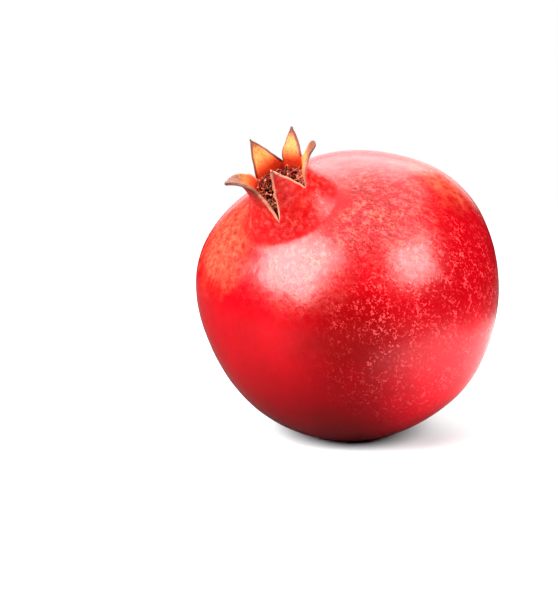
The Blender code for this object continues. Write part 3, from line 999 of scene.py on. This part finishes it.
def new_group(name, inputs, outputs):
    """A shader node group with named sockets: its wiring, its inputs, and its outputs to feed."""
    tree = bpy.data.node_groups.new(name, "ShaderNodeTree")
    for label, kind, value in inputs:
        tree.interface.new_socket(label, in_out="INPUT", socket_type=kind).default_value = value
    for label, kind in outputs:
        tree.interface.new_socket(label, in_out="OUTPUT", socket_type=kind)
    wiring = Wiring(tree)
    return wiring, wiring.add("NodeGroupInput", {}), tree.nodes.new("NodeGroupOutput").inputs


def new_material(name, **values):
    """A material with a Principled shader whose uniform values are set on its own sockets."""
    made = bpy.data.materials.new(name)
    made.use_nodes = True
    shader = made.node_tree.nodes["Principled BSDF"]
    for label, value in values.items():
        shader.inputs[label].default_value = value
    return made, Wiring(made.node_tree), shader


def feed(wiring, shader, colour, roughness, height, distance, strength):
    bump = {"Height": height, "Distance": distance, "Strength": strength}
    wiring.join(colour, shader.inputs["Base Color"])
    wiring.join(roughness, shader.inputs["Roughness"])
    wiring.join(wiring.add("ShaderNodeBump", bump)[0], shader.inputs["Normal"])


# %% [markdown]
# ## Fruit space
# Streaks on the rind run from the crown to the stalk, whichever way the fruit lies. This group
# turns a point of the laid fruit back to the upright fruit, in millimetres. A second output is
# made for streaks: it changes fast round the fruit and slowly along it, so that any noise read
# there is drawn out along the meridians.

# %% Group: fruit space
MEAN_RADIUS = 45.0

wiring, given, out = new_group(
    "Fruit space",
    [("Width", FLOAT, 1.0), ("Length", FLOAT, 6.0)],
    [("Point", VECTOR), ("Streak", VECTOR), ("Height", FLOAT)],
)
laid_back = {
    "Vector": wiring.add("ShaderNodeTexCoord", {})["Object"],
    "Location": FRUIT_CENTRE,
    "Rotation": laid.to_euler(),
    "Scale": (MM, MM, MM),
}
upright = wiring.add("ShaderNodeMapping", laid_back, vector_type="TEXTURE")[0]
height = wiring.add("ShaderNodeSeparateXYZ", {0: upright})["Z"]
from_axis = wiring.vector("MULTIPLY", upright, FLAT)
latitude = wiring.math("ARCTAN2", height, wiring.vector("LENGTH", from_axis))
across_scale = wiring.math("DIVIDE", MEAN_RADIUS, given["Width"])
around = wiring.scaled(wiring.vector("NORMALIZE", from_axis), across_scale)
along = latitude * wiring.math("DIVIDE", MEAN_RADIUS, given["Length"])
streak = wiring.vector("ADD", around, wiring.add("ShaderNodeCombineXYZ", {"Z": along})[0])
wiring.join(upright, out["Point"])
wiring.join(streak, out["Streak"])
wiring.join(height, out["Height"])
FRUIT_SPACE = wiring.tree

# %% [markdown]
# ## Specks and short arcs
# The rind is dotted with pores: pale dots under a millimetre across, and here and there a broken
# ring or a short arc. Voronoi cells place them unevenly. In each cell the distance from its point
# draws the dot, or the ring, and the cell's own random colour says whether it is there at all.

# %% Group: specks
WARP_NOISE = (0.9, 3.0, 0.65)
WARP = 1.3
LEAST_SIZE = 0.35
DOT_CORE = 0.45
RING_SIZE = 1.7
RING_LINE = (0.17, 0.04)
GAP_NOISE = (1.1, 1.0)
RING_GAPS = (0.52, 0.6)

wiring, given, out = new_group(
    "Specks",
    [
        ("Point", VECTOR, ORIGIN),
        ("Spacing", FLOAT, 1.5),
        ("Radius", FLOAT, 0.3),
        ("Share", FLOAT, 0.5),
    ],
    [("Dots", FLOAT), ("Arcs", FLOAT)],
)
warp = wiring.scaled(wiring.noise(given["Point"], *WARP_NOISE, out="Color"), WARP)
moved = wiring.vector("ADD", given["Point"], warp)
scale = wiring.math("DIVIDE", 1.0, given["Spacing"])
cells = wiring.add("ShaderNodeTexVoronoi", {"Vector": moved, "Scale": scale, "Randomness": 1.0})
chance = wiring.add("ShaderNodeSeparateColor", {0: cells["Color"]})
distance = cells["Distance"] * given["Spacing"]
size = given["Radius"] * (chance[1] + LEAST_SIZE)
there = wiring.math("LESS_THAN", chance[0], given["Share"])
wiring.join(wiring.step(distance, size, size * DOT_CORE) * there, out["Dots"])
ring = wiring.step(abs(distance - size * RING_SIZE), *RING_LINE)
gaps = wiring.step(wiring.noise(given["Point"], *GAP_NOISE), *RING_GAPS)
wiring.join(ring * gaps * there, out["Arcs"])
SPECKS = wiring.tree

# %% [markdown]
# ## Patches
# A fruit ripens unevenly and some shoulders stay orange; patches here also paint shade and light.
# A patch is a soft-edged cap round a direction from the middle of the fruit, its edge ragged with
# noise. Painting by hand on an unwrapped skin would also do, but it would need an image.

# %% Group: patch
RAGGED_NOISE = (0.16, 3.0, 0.6)

wiring, given, out = new_group(
    "Patch",
    [
        ("Point", VECTOR, ORIGIN),
        ("Towards", VECTOR, (0.0, 0.0, 1.0)),
        ("Reach", FLOAT, 25.0),
        ("Softness", FLOAT, 8.0),
        ("Ragged", FLOAT, 8.0),
    ],
    [("Mask", FLOAT)],
)
outwards = wiring.vector("NORMALIZE", given["Point"])
cosine = wiring.vector("DOT_PRODUCT", outwards, given["Towards"])
away = wiring.math("ARCCOSINE", cosine) * math.degrees(1.0)
uneven = (wiring.noise(given["Point"], *RAGGED_NOISE) - 0.5) * (given["Ragged"] * 2.0)
clear, full = given["Reach"] + given["Softness"], given["Reach"] - given["Softness"]
wiring.join(wiring.step(away + uneven, clear, full), out["Mask"])
PATCH = wiring.tree

# %% [markdown]
# ## Dry skin
# Where thin tissue dries it turns brown, from the tips and free edges inwards, in a blotchy way.
# This group takes how dry a point is, and puts out a mask with broken edges and a second one for
# the darkest spots.

# %% Group: drying
BROWN_FROM = (0.25, 0.65)
BLACK_FROM = (0.95, 1.3)

wiring, given, out = new_group(
    "Drying",
    [("Point", VECTOR, ORIGIN), ("Dryness", FLOAT, 0.5), ("Grain", FLOAT, 1.6)],
    [("Brown", FLOAT), ("Black", FLOAT)],
)
level = given["Dryness"] + (wiring.noise(given["Point"], given["Grain"], 4.0, 0.6) - 0.5)
wiring.join(wiring.step(level, *BROWN_FROM), out["Brown"])
wiring.join(wiring.step(level, *BLACK_FROM), out["Black"])
DRYING = wiring.tree
print("node groups:", [group.name for group in bpy.data.node_groups])

# %% [markdown]
# ## The rind's finish
# The rind is a leathery, waxy skin. Its colour is built in layers, as it would be painted: a deep
# red ground, coral mottling drawn out along the fruit, orange patches that never ripened, pale
# flecks and pores, and fine dark strokes. The crown then gets its own colours from the notes on
# the mesh.
#
# The ground is deepest on one side of the front, a painted shadow, and lighter low down, a
# painted bounce light. Each patch below has the azimuth and latitude of its middle, its reach,
# the softness of its edge and how ragged that is, all in degrees.

# %% Rind: ground
DEEP_RED = tone(140, 0, 8)
RED = tone(148, 0, 10)
PAINTED_SHADOW_RED = tone(108, 0, 2)
BOUNCE_LIT_RED = tone(220, 0, 26)
GROUND_NOISE = (0.07, 2.0)
GROUND_CHANGE = (0.35, 0.65)

Patch = namedtuple("Patch", "azimuth latitude reach softness ragged")
PATCHES = {
    "painted shadow side": Patch(-104.0, 30.0, 17.0, 12.0, 6.0),
    "bounce-lit underside": Patch(-80.0, -22.0, 24.0, 17.0, 6.0),
    "sunny shoulder": Patch(-34.0, 60.0, 24.0, 12.0, 14.0),
    "far side": Patch(110.0, -5.0, 50.0, 14.0, 10.0),
    "left highlight": Patch(-112.0, 63.0, 16.0, 10.0, 4.0),
    "right highlight": Patch(-60.0, 38.0, 10.0, 8.0, 4.0),
    "fillet shade spot": Patch(-38.0, 71.0, 4.5, 4.0, 3.0),
    "orange neck side": Patch(156.0, 58.0, 17.0, 9.0, 12.0),
    "orange shoulder": Patch(-2.0, 27.0, 13.0, 8.0, 14.0),
    "speckled side": Patch(-66.0, 4.0, 44.0, 16.0, 10.0),
    "stroked shoulder": Patch(-48.0, 65.0, 26.0, 10.0, 6.0),
}

rind_finish, wiring, shader = new_material("rind skin", IOR=1.33)
space = wiring.group(FRUIT_SPACE, {})
point = space["Point"]


def patch(name):
    azimuth, latitude, reach, softness, ragged = PATCHES[name]
    inputs = {"Point": point, "Towards": direction(azimuth, latitude)}
    inputs.update({"Reach": reach, "Softness": softness, "Ragged": ragged})
    return wiring.group(PATCH, inputs)["Mask"]


ground = wiring.paint(
    DEEP_RED,
    (wiring.step(wiring.noise(point, *GROUND_NOISE), *GROUND_CHANGE), RED),
    # A darker side of the front: painted shadow.
    (patch("painted shadow side"), PAINTED_SHADOW_RED),
    # A lighter underside: painted bounce light from the floor.
    (patch("bounce-lit underside"), BOUNCE_LIT_RED),
)
print("the rind has", len(PATCHES), "patches")

# %% [markdown]
# The mottling is two noises together: streaks that bend as they run along the fruit, and rounder
# blotches. It is strong on the sunny shoulder and weaker on the far side. Under the two highlights
# it is laid on more thickly, partly real mottling and partly painted highlight, and the painted
# shade spot beside the neck has none. A noise is given here by its scale, detail and roughness,
# and a mask by the level where it begins, the level where it is full, and how strong it then is.

# %% Rind: mottling
CORAL = tone(196, 80, 76)
PEACH = tone(190, 98, 78)
BEND_NOISE = (0.8, 2.0)
STREAK_SPACE = (0.8, 3.2, 2.5)
STREAK_NOISE = (1.0, 4.0, 0.65)
BLOTCH_NOISE = (0.55, 6.0, 0.75)
STREAK_MASK = (0.45, 0.62, 0.45)
BLOTCH_MASK = (0.46, 0.56, 0.65)
SUNNY_MOTTLING, FAR_MOTTLING, PAINTED_HIGHLIGHT_MOTTLING, LEAST_MOTTLING = 0.66, 0.3, 0.62, 0.005
PEACH_NOISE = (0.25, 3.0)
PEACH_MASK = (0.45, 0.65)

bend = wiring.noise(point, *BEND_NOISE, out="Color")
bend = wiring.vector("SUBTRACT", bend, (0.5, 0.5, 0.5))


def bent_streaks(width, length, bending):
    """Points for a noise that is drawn out along the fruit and wanders from side to side."""
    straight = wiring.group(FRUIT_SPACE, {"Width": width, "Length": length})["Streak"]
    return wiring.vector("ADD", straight, wiring.scaled(bend, bending))


fine_streak = wiring.noise(bent_streaks(*STREAK_SPACE), *STREAK_NOISE)
blotches = wiring.noise(point, *BLOTCH_NOISE)
streaks = wiring.step(fine_streak, *STREAK_MASK) + wiring.step(blotches, *BLOTCH_MASK)
far_side = patch("far side")
lit = wiring.larger(patch("left highlight"), patch("right highlight"))
# A spot of painted shade in the fillet beside the neck, kept free of mottling.
fillet_shade = patch("fillet shade spot")
sunny = patch("sunny shoulder") * SUNNY_MOTTLING + LEAST_MOTTLING
# Heavier mottling under the highlights is partly painted highlight.
amount = wiring.larger(sunny, far_side * FAR_MOTTLING, lit * PAINTED_HIGHLIGHT_MOTTLING) * (1.0 - fillet_shade)
peach_share = wiring.step(wiring.noise(point, *PEACH_NOISE), *PEACH_MASK)
skin = wiring.blend(streaks * amount, ground, wiring.blend(peach_share, CORAL, PEACH))
print("mottling runs in streaks", STREAK_SPACE[0], "mm wide")

# %% [markdown]
# The orange shoulders lie beside the neck and on the top of the far side. Pale, worm-like flecks
# and pores crowd together low on the side that faces the camera, and more thinly on the far side.
# Fine dark strokes lie on the top and under the highlights. One spot beside the neck is painted
# shade, a deep red without mottling.

# %% Rind: orange, flecks and strokes
ORANGE = tone(196, 92, 64)
PALE_PINK = tone(214, 72, 74)
HAIRLINE_RED = tone(108, 0, 2)
ORANGE_MASK = (0.25, 0.75, 0.7)
FLECK_SPACE = (1.05, 1.6, 3.5)
FLECK_NOISE = (1.0, 1.5, 0.6)
FLECK_MASK = (0.57, 0.65, 0.8)
PORES = {"Spacing": 1.7, "Radius": 0.3, "Share": 0.5}
PORE_STRENGTH = 0.75
CROWD_NOISE = (0.14, 3.0, 0.6)
CROWD_MASK = (0.32, 0.55, 0.75)
FAR_CROWD, LEAST_CROWD = 0.6, 0.02
STROKE_SPACE = (1.5, 3.2, 2.0)
STROKE_NOISE = (1.0, 3.0, 0.6)
STROKE_LINE = (0.1, 0.035)
STROKE_GAP_NOISE = (0.5, 2.0)
STROKE_GAPS = (0.36, 0.5)
TOP_STROKES, LIT_STROKES, LEAST_STROKES = 0.92, 0.7, 0.04
FILLET_SHADE_STRENGTH = 0.8

orange = wiring.larger(patch("orange neck side"), patch("orange shoulder"))
skin = wiring.blend(orange * wiring.step(blotches, *ORANGE_MASK), skin, ORANGE)

flecks = wiring.step(wiring.noise(bent_streaks(*FLECK_SPACE), *FLECK_NOISE), *FLECK_MASK)
pores = wiring.group(SPECKS, {"Point": point, **PORES})
pores = wiring.larger(pores["Dots"], pores["Arcs"]) * PORE_STRENGTH
crowd = wiring.step(wiring.noise(point, *CROWD_NOISE), *CROWD_MASK)
crowd = crowd * wiring.larger(patch("speckled side"), far_side * FAR_CROWD) + LEAST_CROWD
specks = wiring.larger(pores, flecks) * crowd
skin = wiring.blend(specks, skin, PALE_PINK)

contour = wiring.noise(bent_streaks(*STROKE_SPACE), *STROKE_NOISE) - 0.5
gaps = wiring.step(wiring.noise(point, *STROKE_GAP_NOISE), *STROKE_GAPS)
strokes = wiring.step(abs(contour), *STROKE_LINE) * gaps
stroked = wiring.larger(patch("stroked shoulder") * TOP_STROKES, lit * LIT_STROKES)
stroked = strokes * (stroked + LEAST_STROKES)
# Strokes, then the deep red of the painted shade spot beside the neck.
skin = wiring.paint(skin, (stroked, HAIRLINE_RED), (fillet_shade * FILLET_SHADE_STRENGTH, DEEP_RED))

# %% [markdown]
# Round the foot of the neck the skin is a plain, deep red without mottling. The neck above it is
# clouded with lighter and darker red, and outside the lobes are red with orange blotches. Heights
# here are millimetres up from the fruit's middle.

# %% Rind: collar and neck
COLLAR_RED = tone(176, 0, 4)
LOBE_OUTSIDE = tone(188, 8, 8)
LOBE_STREAK = tone(204, 62, 40)
COLLAR_HEIGHTS = (39.0, 42.0)
COLLAR_MASK = (0.75, 0.35, 0.8)
CROWN_HEIGHTS = (43.0, 54.0)
CROWN_STRENGTH = 0.8
LOBE_NOISE = (0.7, 4.0, 0.7)
LOBE_MASK = (0.45, 0.68)
NECK_HEIGHTS = (41.0, 45.0)
NECK_LIGHT = (0.5, 0.62, 0.4)
NECK_DARK = (0.48, 0.36, 0.6)

above = space["Height"]
collar = wiring.step(above, *COLLAR_HEIGHTS) * wiring.step(fine_streak, *COLLAR_MASK)
outside = wiring.step(wiring.noise(point, *LOBE_NOISE), *LOBE_MASK)
outside = wiring.blend(outside, LOBE_OUTSIDE, LOBE_STREAK)
on_crown = wiring.step(above, *CROWN_HEIGHTS)
on_neck = wiring.step(above, *NECK_HEIGHTS)
skin = wiring.paint(
    skin,
    (collar, COLLAR_RED),
    (on_crown * CROWN_STRENGTH, outside),
    (wiring.step(blotches, *NECK_LIGHT) * on_neck, CORAL),
    (wiring.step(blotches, *NECK_DARK) * on_neck, DEEP_RED),
)

# %% [markdown]
# ## The crown's colours
# Inside, the lobes run from red-orange at the foot through yellow to a reddish tip, with fine
# veins, and deep in the cup they darken, which is painted shade. Free edges show a band that is
# pale on the near lobes and brown on those behind, and whatever has dried is brown with dark
# spots.

# %% Crown: inside, edges and dry tips
INSIDE_FOOT = tone(222, 56, 22)
INSIDE_MIDDLE = tone(196, 120, 58)
INSIDE_TIP = tone(140, 54, 42)
CUP_SHADE = tone(120, 20, 10)
VEIN = tone(136, 48, 26)
EDGE_PALE = tone(204, 138, 112)
EDGE_BROWN = tone(84, 26, 20)
DRY_BROWN = tone(94, 48, 34)
DRY_SPOT = tone(58, 26, 18)
DRY_BLACK = tone(46, 22, 16)
LOBE_STREAK_SPACE = {"Width": 2.4, "Length": 22.0}
LOBE_STREAK_NOISE = (1.0, 3.0, 0.6)
MIDDLE_CLIMB = (0.0, 0.45)
TIP_CLIMB = (0.55, 1.0)
LOBE_STREAK_MASK = (0.4, 0.75, 0.35)
VEIN_NOISE = (1.3, 5.0, 0.75)
VEIN_MASK = (0.48, 0.66, 0.6)
CUP_SHADE_HEIGHTS = (50.0, 43.0)
EDGE_MASK = (0.15, 0.6, 0.9)
DRY_GRAIN = 1.4
DRY_SPOT_NOISE = (1.1, 3.0, 0.7)
DRY_SPOT_MASK = (0.5, 0.62, 0.75)
DRY_STRENGTH = 0.85

climb, inside, pale = (wiring.note(label) for label in ("climb", "inside", "pale"))
along_lobe = wiring.group(FRUIT_SPACE, LOBE_STREAK_SPACE)["Streak"]
lobe_streak = wiring.noise(along_lobe, *LOBE_STREAK_NOISE)
warm = wiring.paint(
    INSIDE_FOOT,
    (wiring.step(climb, *MIDDLE_CLIMB), INSIDE_MIDDLE),
    (wiring.step(climb, *TIP_CLIMB), INSIDE_TIP),
    (wiring.step(lobe_streak, *LOBE_STREAK_MASK), INSIDE_TIP),
    (wiring.step(wiring.noise(point, *VEIN_NOISE), *VEIN_MASK), VEIN),
    # Darker deep in the cup: painted shade.
    (wiring.step(above, *CUP_SHADE_HEIGHTS), CUP_SHADE),
)
edge_colour = wiring.blend(pale, EDGE_BROWN, EDGE_PALE)
dryness = {"Point": point, "Dryness": wiring.note("dry"), "Grain": DRY_GRAIN}
drying = wiring.group(DRYING, dryness)
spots = wiring.step(wiring.noise(point, *DRY_SPOT_NOISE), *DRY_SPOT_MASK)
skin = wiring.paint(
    skin,
    (inside, warm),
    (wiring.step(wiring.note("edge"), *EDGE_MASK), edge_colour),
    (drying["Brown"] * DRY_STRENGTH, wiring.blend(spots, DRY_BROWN, DRY_SPOT)),
    (drying["Black"], DRY_BLACK),
)

# %% [markdown]
# The gloss of wax comes from a low roughness, broken by the streaks and strokes. The dry and
# inner parts of the crown have no wax, so they are rougher, and so is the foot of the neck. The
# shallow relief is in millimetres: a fine grain, a slow swell, and the strokes pressed in.

# %% Rind: gloss and relief
WAX = 0.16
STREAK_ROUGHNESS, STROKE_ROUGHNESS, DULL_ROUGHNESS = 0.06, 0.05, 0.3
NECK_FOOT_HEIGHTS = (39.5, 41.5)
NECK_FOOT_TOP = (47.0, 43.0, 0.5)
CROWN_DULLNESS = 0.25
GRAIN_NOISE = (1.9, 3.0, 0.6)
SWELL_NOISE = (0.35, 2.0)
GRAIN_RELIEF, SWELL_RELIEF = 0.05, 0.14
STREAK_RELIEF, STROKE_RELIEF, SPECK_RELIEF = 0.03, 0.015, 0.02
RIND_RELIEF = 0.6

neck_foot = wiring.step(above, *NECK_FOOT_HEIGHTS) * wiring.step(above, *NECK_FOOT_TOP)
dull = wiring.larger(inside, drying["Brown"], neck_foot + on_crown * CROWN_DULLNESS)
wax = fine_streak * STREAK_ROUGHNESS + WAX + strokes * STROKE_ROUGHNESS
roughness = wiring.math("ADD", wax, dull * DULL_ROUGHNESS, clamped=True)
height = wiring.noise(point, *GRAIN_NOISE) * GRAIN_RELIEF
height = height + wiring.noise(point, *SWELL_NOISE) * SWELL_RELIEF
height = height + fine_streak * STREAK_RELIEF - strokes * STROKE_RELIEF + specks * SPECK_RELIEF
feed(wiring, shader, skin, roughness, height, MM, RIND_RELIEF)
rind.data.materials.append(rind_finish)
print("rind finish:", len(rind_finish.node_tree.nodes), "nodes")

# %% [markdown]
# ## The stamens' finish
# Dry filaments are brown to dark red, the anthers tan. How dark each one is comes from its own
# note, so neighbours differ. Its foot, deep in the cup, is darker, which is painted shade, and
# fine fibres run through it.

# %% Stamen finish
FILAMENT_TAN = tone(166, 84, 50)
FILAMENT_RED = tone(146, 40, 22)
FILAMENT_DARK = tone(50, 20, 12)
ANTHER_TAN = tone(178, 108, 66)
RED_FROM, DARK_FROM, ANTHER_DARK_FROM = (0.1, 0.6), (0.7, 0.95), (0.3, 1.0)
FOOT_SHADE = (0.45, 0.0, 0.7)
FIBRE_NOISE = (3.0, 3.0, 0.7)
FIBRE_MASK = (0.45, 0.7, 0.5)
FIBRE_DEPTH, FIBRE_RELIEF = 0.08 * MM, 0.7
FIBRE_ROUGHNESS, ROUGHNESS_CHANGE = 0.6, 0.3

stamen_finish, wiring, shader = new_material("dried stamen")
dark = wiring.note("dry")
fibre = wiring.noise(wiring.group(FRUIT_SPACE, {})["Point"], *FIBRE_NOISE)
anther = wiring.blend(wiring.step(dark, *ANTHER_DARK_FROM), ANTHER_TAN, FILAMENT_TAN)
colour = wiring.paint(
    FILAMENT_TAN,
    (wiring.step(dark, *RED_FROM), FILAMENT_RED),
    (wiring.step(dark, *DARK_FROM), FILAMENT_DARK),
    # Darker towards each filament's foot: painted shade.
    (wiring.step(wiring.note("edge"), *FOOT_SHADE), FILAMENT_DARK),
    (wiring.note("climb"), anther),
    (wiring.step(fibre, *FIBRE_MASK), FILAMENT_DARK),
)
roughness = fibre * ROUGHNESS_CHANGE + FIBRE_ROUGHNESS
feed(wiring, shader, colour, roughness, fibre, FIBRE_DEPTH, FIBRE_RELIEF)
stamens.data.materials.append(stamen_finish)
print("stamen finish:", len(stamen_finish.node_tree.nodes), "nodes")

# %% [markdown]
# ## The stalk's finish
# Bark with pale pores on its side, and on the clipped end paler wood with faint rings round a
# small pith.

# %% Stalk finish
BARK = tone(122, 84, 52)
BARK_DARK = tone(62, 40, 26)
BARK_PORE = tone(176, 140, 100)
CUT_WOOD = tone(196, 160, 112)
CUT_RING = tone(150, 108, 66)
BARK_STRETCH = (2.0, 2.0, 0.5)
BARK_NOISE = (1.0, 4.0, 0.65)
BARK_CHANGE = (0.35, 0.65)
BARK_PORES = {"Spacing": 0.9, "Radius": 0.22, "Share": 0.35}
BARK_PORE_STRENGTH = 0.7
RINGS_PER_MM = 14.0
RING_MASK, PITH_MASK, CLIPPED_FROM = (-0.2, 0.9), (0.45, 0.25), (0.4, 0.9)
BARK_DEPTH, BARK_RELIEF = 0.2 * MM, 0.8
BARK_ROUGHNESS = 0.65

stalk_finish, wiring, shader = new_material("stalk bark")
point = wiring.group(FRUIT_SPACE, {})["Point"]
grain = wiring.noise(wiring.vector("MULTIPLY", point, BARK_STRETCH), *BARK_NOISE)
pores = wiring.group(SPECKS, {"Point": point, **BARK_PORES})["Dots"] * BARK_PORE_STRENGTH
bark = wiring.paint(BARK_DARK, (wiring.step(grain, *BARK_CHANGE), BARK), (pores, BARK_PORE))
from_axis = wiring.vector("LENGTH", wiring.vector("MULTIPLY", point, FLAT))
rings = wiring.math("SINE", from_axis * RINGS_PER_MM)
pith = wiring.step(from_axis, *PITH_MASK)
wood = wiring.paint(CUT_WOOD, (wiring.step(rings, *RING_MASK), CUT_RING), (pith, BARK_DARK))
colour = wiring.blend(wiring.step(wiring.note("inside"), *CLIPPED_FROM), bark, wood)
roughness = grain * ROUGHNESS_CHANGE + BARK_ROUGHNESS
feed(wiring, shader, colour, roughness, grain, BARK_DEPTH, BARK_RELIEF)
stalk.data.materials.append(stalk_finish)
print("stalk finish:", len(stalk_finish.node_tree.nodes), "nodes")

# %% [markdown]
# ## Floor and backdrop
# The photograph was taken on white. A white floor catches the soft shadow. It fades out a good way
# from the fruit into a white surround, so no edge or horizon shows from any side. What the fruit
# itself sees beyond the floor is dim, because a dim room is what keeps a glossy red skin deep red.
# For the same reason a photographer lays black card out of the camera's sight. To every ray but
# the camera's, the floor here is dark on the left, in front and far off, and white in a band on
# the right, which is what the lower right of the skin mirrors. Close round the fruit that band
# fades to dark, a painted shadow that the skin mirrors.

# %% Floor
FLOOR_RADIUS = 0.62
FLOOR_SIDES = 96
FLOOR_FADE = (0.5, 0.24)
FLOOR_WHITE = (0.54, 0.545, 0.55, 1.0)
FLOOR_BRIGHT = (0.62, 0.62, 0.62, 1.0)
FLOOR_CARD = (0.03, 0.03, 0.03, 1.0)
CARD_RIGHT = (0.0, 0.05)
CARD_FRONT = (-0.115, -0.075)
WHITE_OUT = (0.2, 0.13)
MIRRORED_SHADOW_REACH = (0.025, 0.085)
SOFT_LIGHT_SHARE = 0.6

floor_mesh = bpy.data.meshes.new("floor")
shape = bmesh.new()
bmesh.ops.create_circle(shape, cap_ends=True, segments=FLOOR_SIDES, radius=FLOOR_RADIUS)
shape.to_mesh(floor_mesh)
shape.free()
floor = put_in_scene("floor", floor_mesh)

floor_finish, wiring, shader = new_material("white floor", Roughness=0.7)
place = wiring.add("ShaderNodeTexCoord", {})["Object"]
across = wiring.add("ShaderNodeSeparateXYZ", {0: place})
ray = wiring.add("ShaderNodeLightPath", {})
off = wiring.vector("LENGTH", place)
# The band fades to dark close round the fruit: a painted shadow, seen in the skin's reflection.
band = wiring.step(off, *MIRRORED_SHADOW_REACH) * wiring.step(off, *WHITE_OUT)
white = wiring.step(across["Y"], *CARD_FRONT) * band
white = wiring.larger(white, ray["Is Diffuse Ray"] * SOFT_LIGHT_SHARE)
white = wiring.step(across["X"], *CARD_RIGHT) * white
unseen = wiring.blend(white, FLOOR_CARD, FLOOR_BRIGHT)
colour = wiring.blend(ray["Is Camera Ray"], unseen, FLOOR_WHITE)
wiring.join(colour, shader.inputs["Base Color"])
wiring.join(wiring.step(off, *FLOOR_FADE), shader.inputs["Alpha"])
floor.data.materials.append(floor_finish)
print("the floor fades out between", FLOOR_FADE[1], "and", FLOOR_FADE[0], "m from the fruit")

# %% [markdown]
# The surround is white to the camera and nearly black to everything else.

# %% Surround
ROOM_LEVEL = 0.012

world = bpy.data.worlds.new("studio")
world.use_nodes = True
bpy.context.scene.world = world
wiring = Wiring(world.node_tree)
background = world.node_tree.nodes["Background"]
background.inputs["Color"].default_value = (1.0, 1.0, 1.0, 1.0)
seen = wiring.add("ShaderNodeLightPath", {})["Is Camera Ray"]
wiring.join(seen * (1.0 - ROOM_LEVEL) + ROOM_LEVEL, background.inputs["Strength"])
bpy.context.scene.view_settings.view_transform = "Standard"
print("the room gives the fruit", ROOM_LEVEL, "of the white that the camera sees")

# %% [markdown]
# ## Lights
# The broad pale highlights on the skin are the softboxes themselves, mirrored. So each box stands
# where a ray from the camera would go after it bounced off that place on the fruit: one left and
# one right of the camera with a dark gap between them, one behind and above for the band along
# the top, a low panel behind for the pale rim, and a large one overhead for the floor. The camera
# doesn't see the boxes themselves.

# %% Softboxes
Softbox = namedtuple("Softbox", "name azimuth elevation distance width height brightness")
SOFTBOXES = [
    Softbox("left_box", -149.5, 34.0, 0.9, 0.8, 0.58, 25.0),
    Softbox("right_box", -38.0, 36.0, 0.9, 0.56, 0.46, 19.0),
    Softbox("back_box", 87.0, 42.0, 0.9, 0.6, 0.6, 4.4),
    Softbox("back_panel", 88.0, 11.0, 0.9, 0.8, 0.3, 1.5),
    Softbox("top_box", 0.0, 88.0, 0.9, 1.2, 1.2, 2.6),
]
for box in SOFTBOXES:
    light = bpy.data.lights.new(box.name, "AREA")
    light.shape = "RECTANGLE"
    light.size = box.width
    light.size_y = box.height
    light.energy = box.brightness * math.pi * box.width * box.height
    lamp = put_in_scene(box.name, light)
    lamp.visible_camera = False
    towards = direction(box.azimuth, box.elevation)
    lamp.location = FRUIT_CENTRE + towards * box.distance
    lamp.rotation_euler = towards.to_track_quat("Z", "Y").to_euler()
    print(box.name, "stands at", [round(c, 2) for c in lamp.location])

# %% [markdown]
# ## Camera
# The photograph looks slightly down at the fruit from two thirds of a metre, with a long lens. Its
# frame is taller than it is wide, so the sensor is fitted to the height.

# %% Camera
CAMERA_PLACE = Vector((-0.0213, -0.58494, 0.16648))
CAMERA_ELEVATION = 12.0
LENS = 116.25
SENSOR = 36.0

camera_data = bpy.data.cameras.new("camera")
camera_data.sensor_fit = "VERTICAL"
camera_data.sensor_height = SENSOR
camera_data.sensor_width = SENSOR
camera_data.lens = LENS
camera = put_in_scene("camera", camera_data)
camera.location = CAMERA_PLACE
camera.rotation_euler = (math.radians(90.0 - CAMERA_ELEVATION), 0.0, 0.0)
bpy.context.scene.camera = camera
print("the camera looks down by", CAMERA_ELEVATION, "degrees")
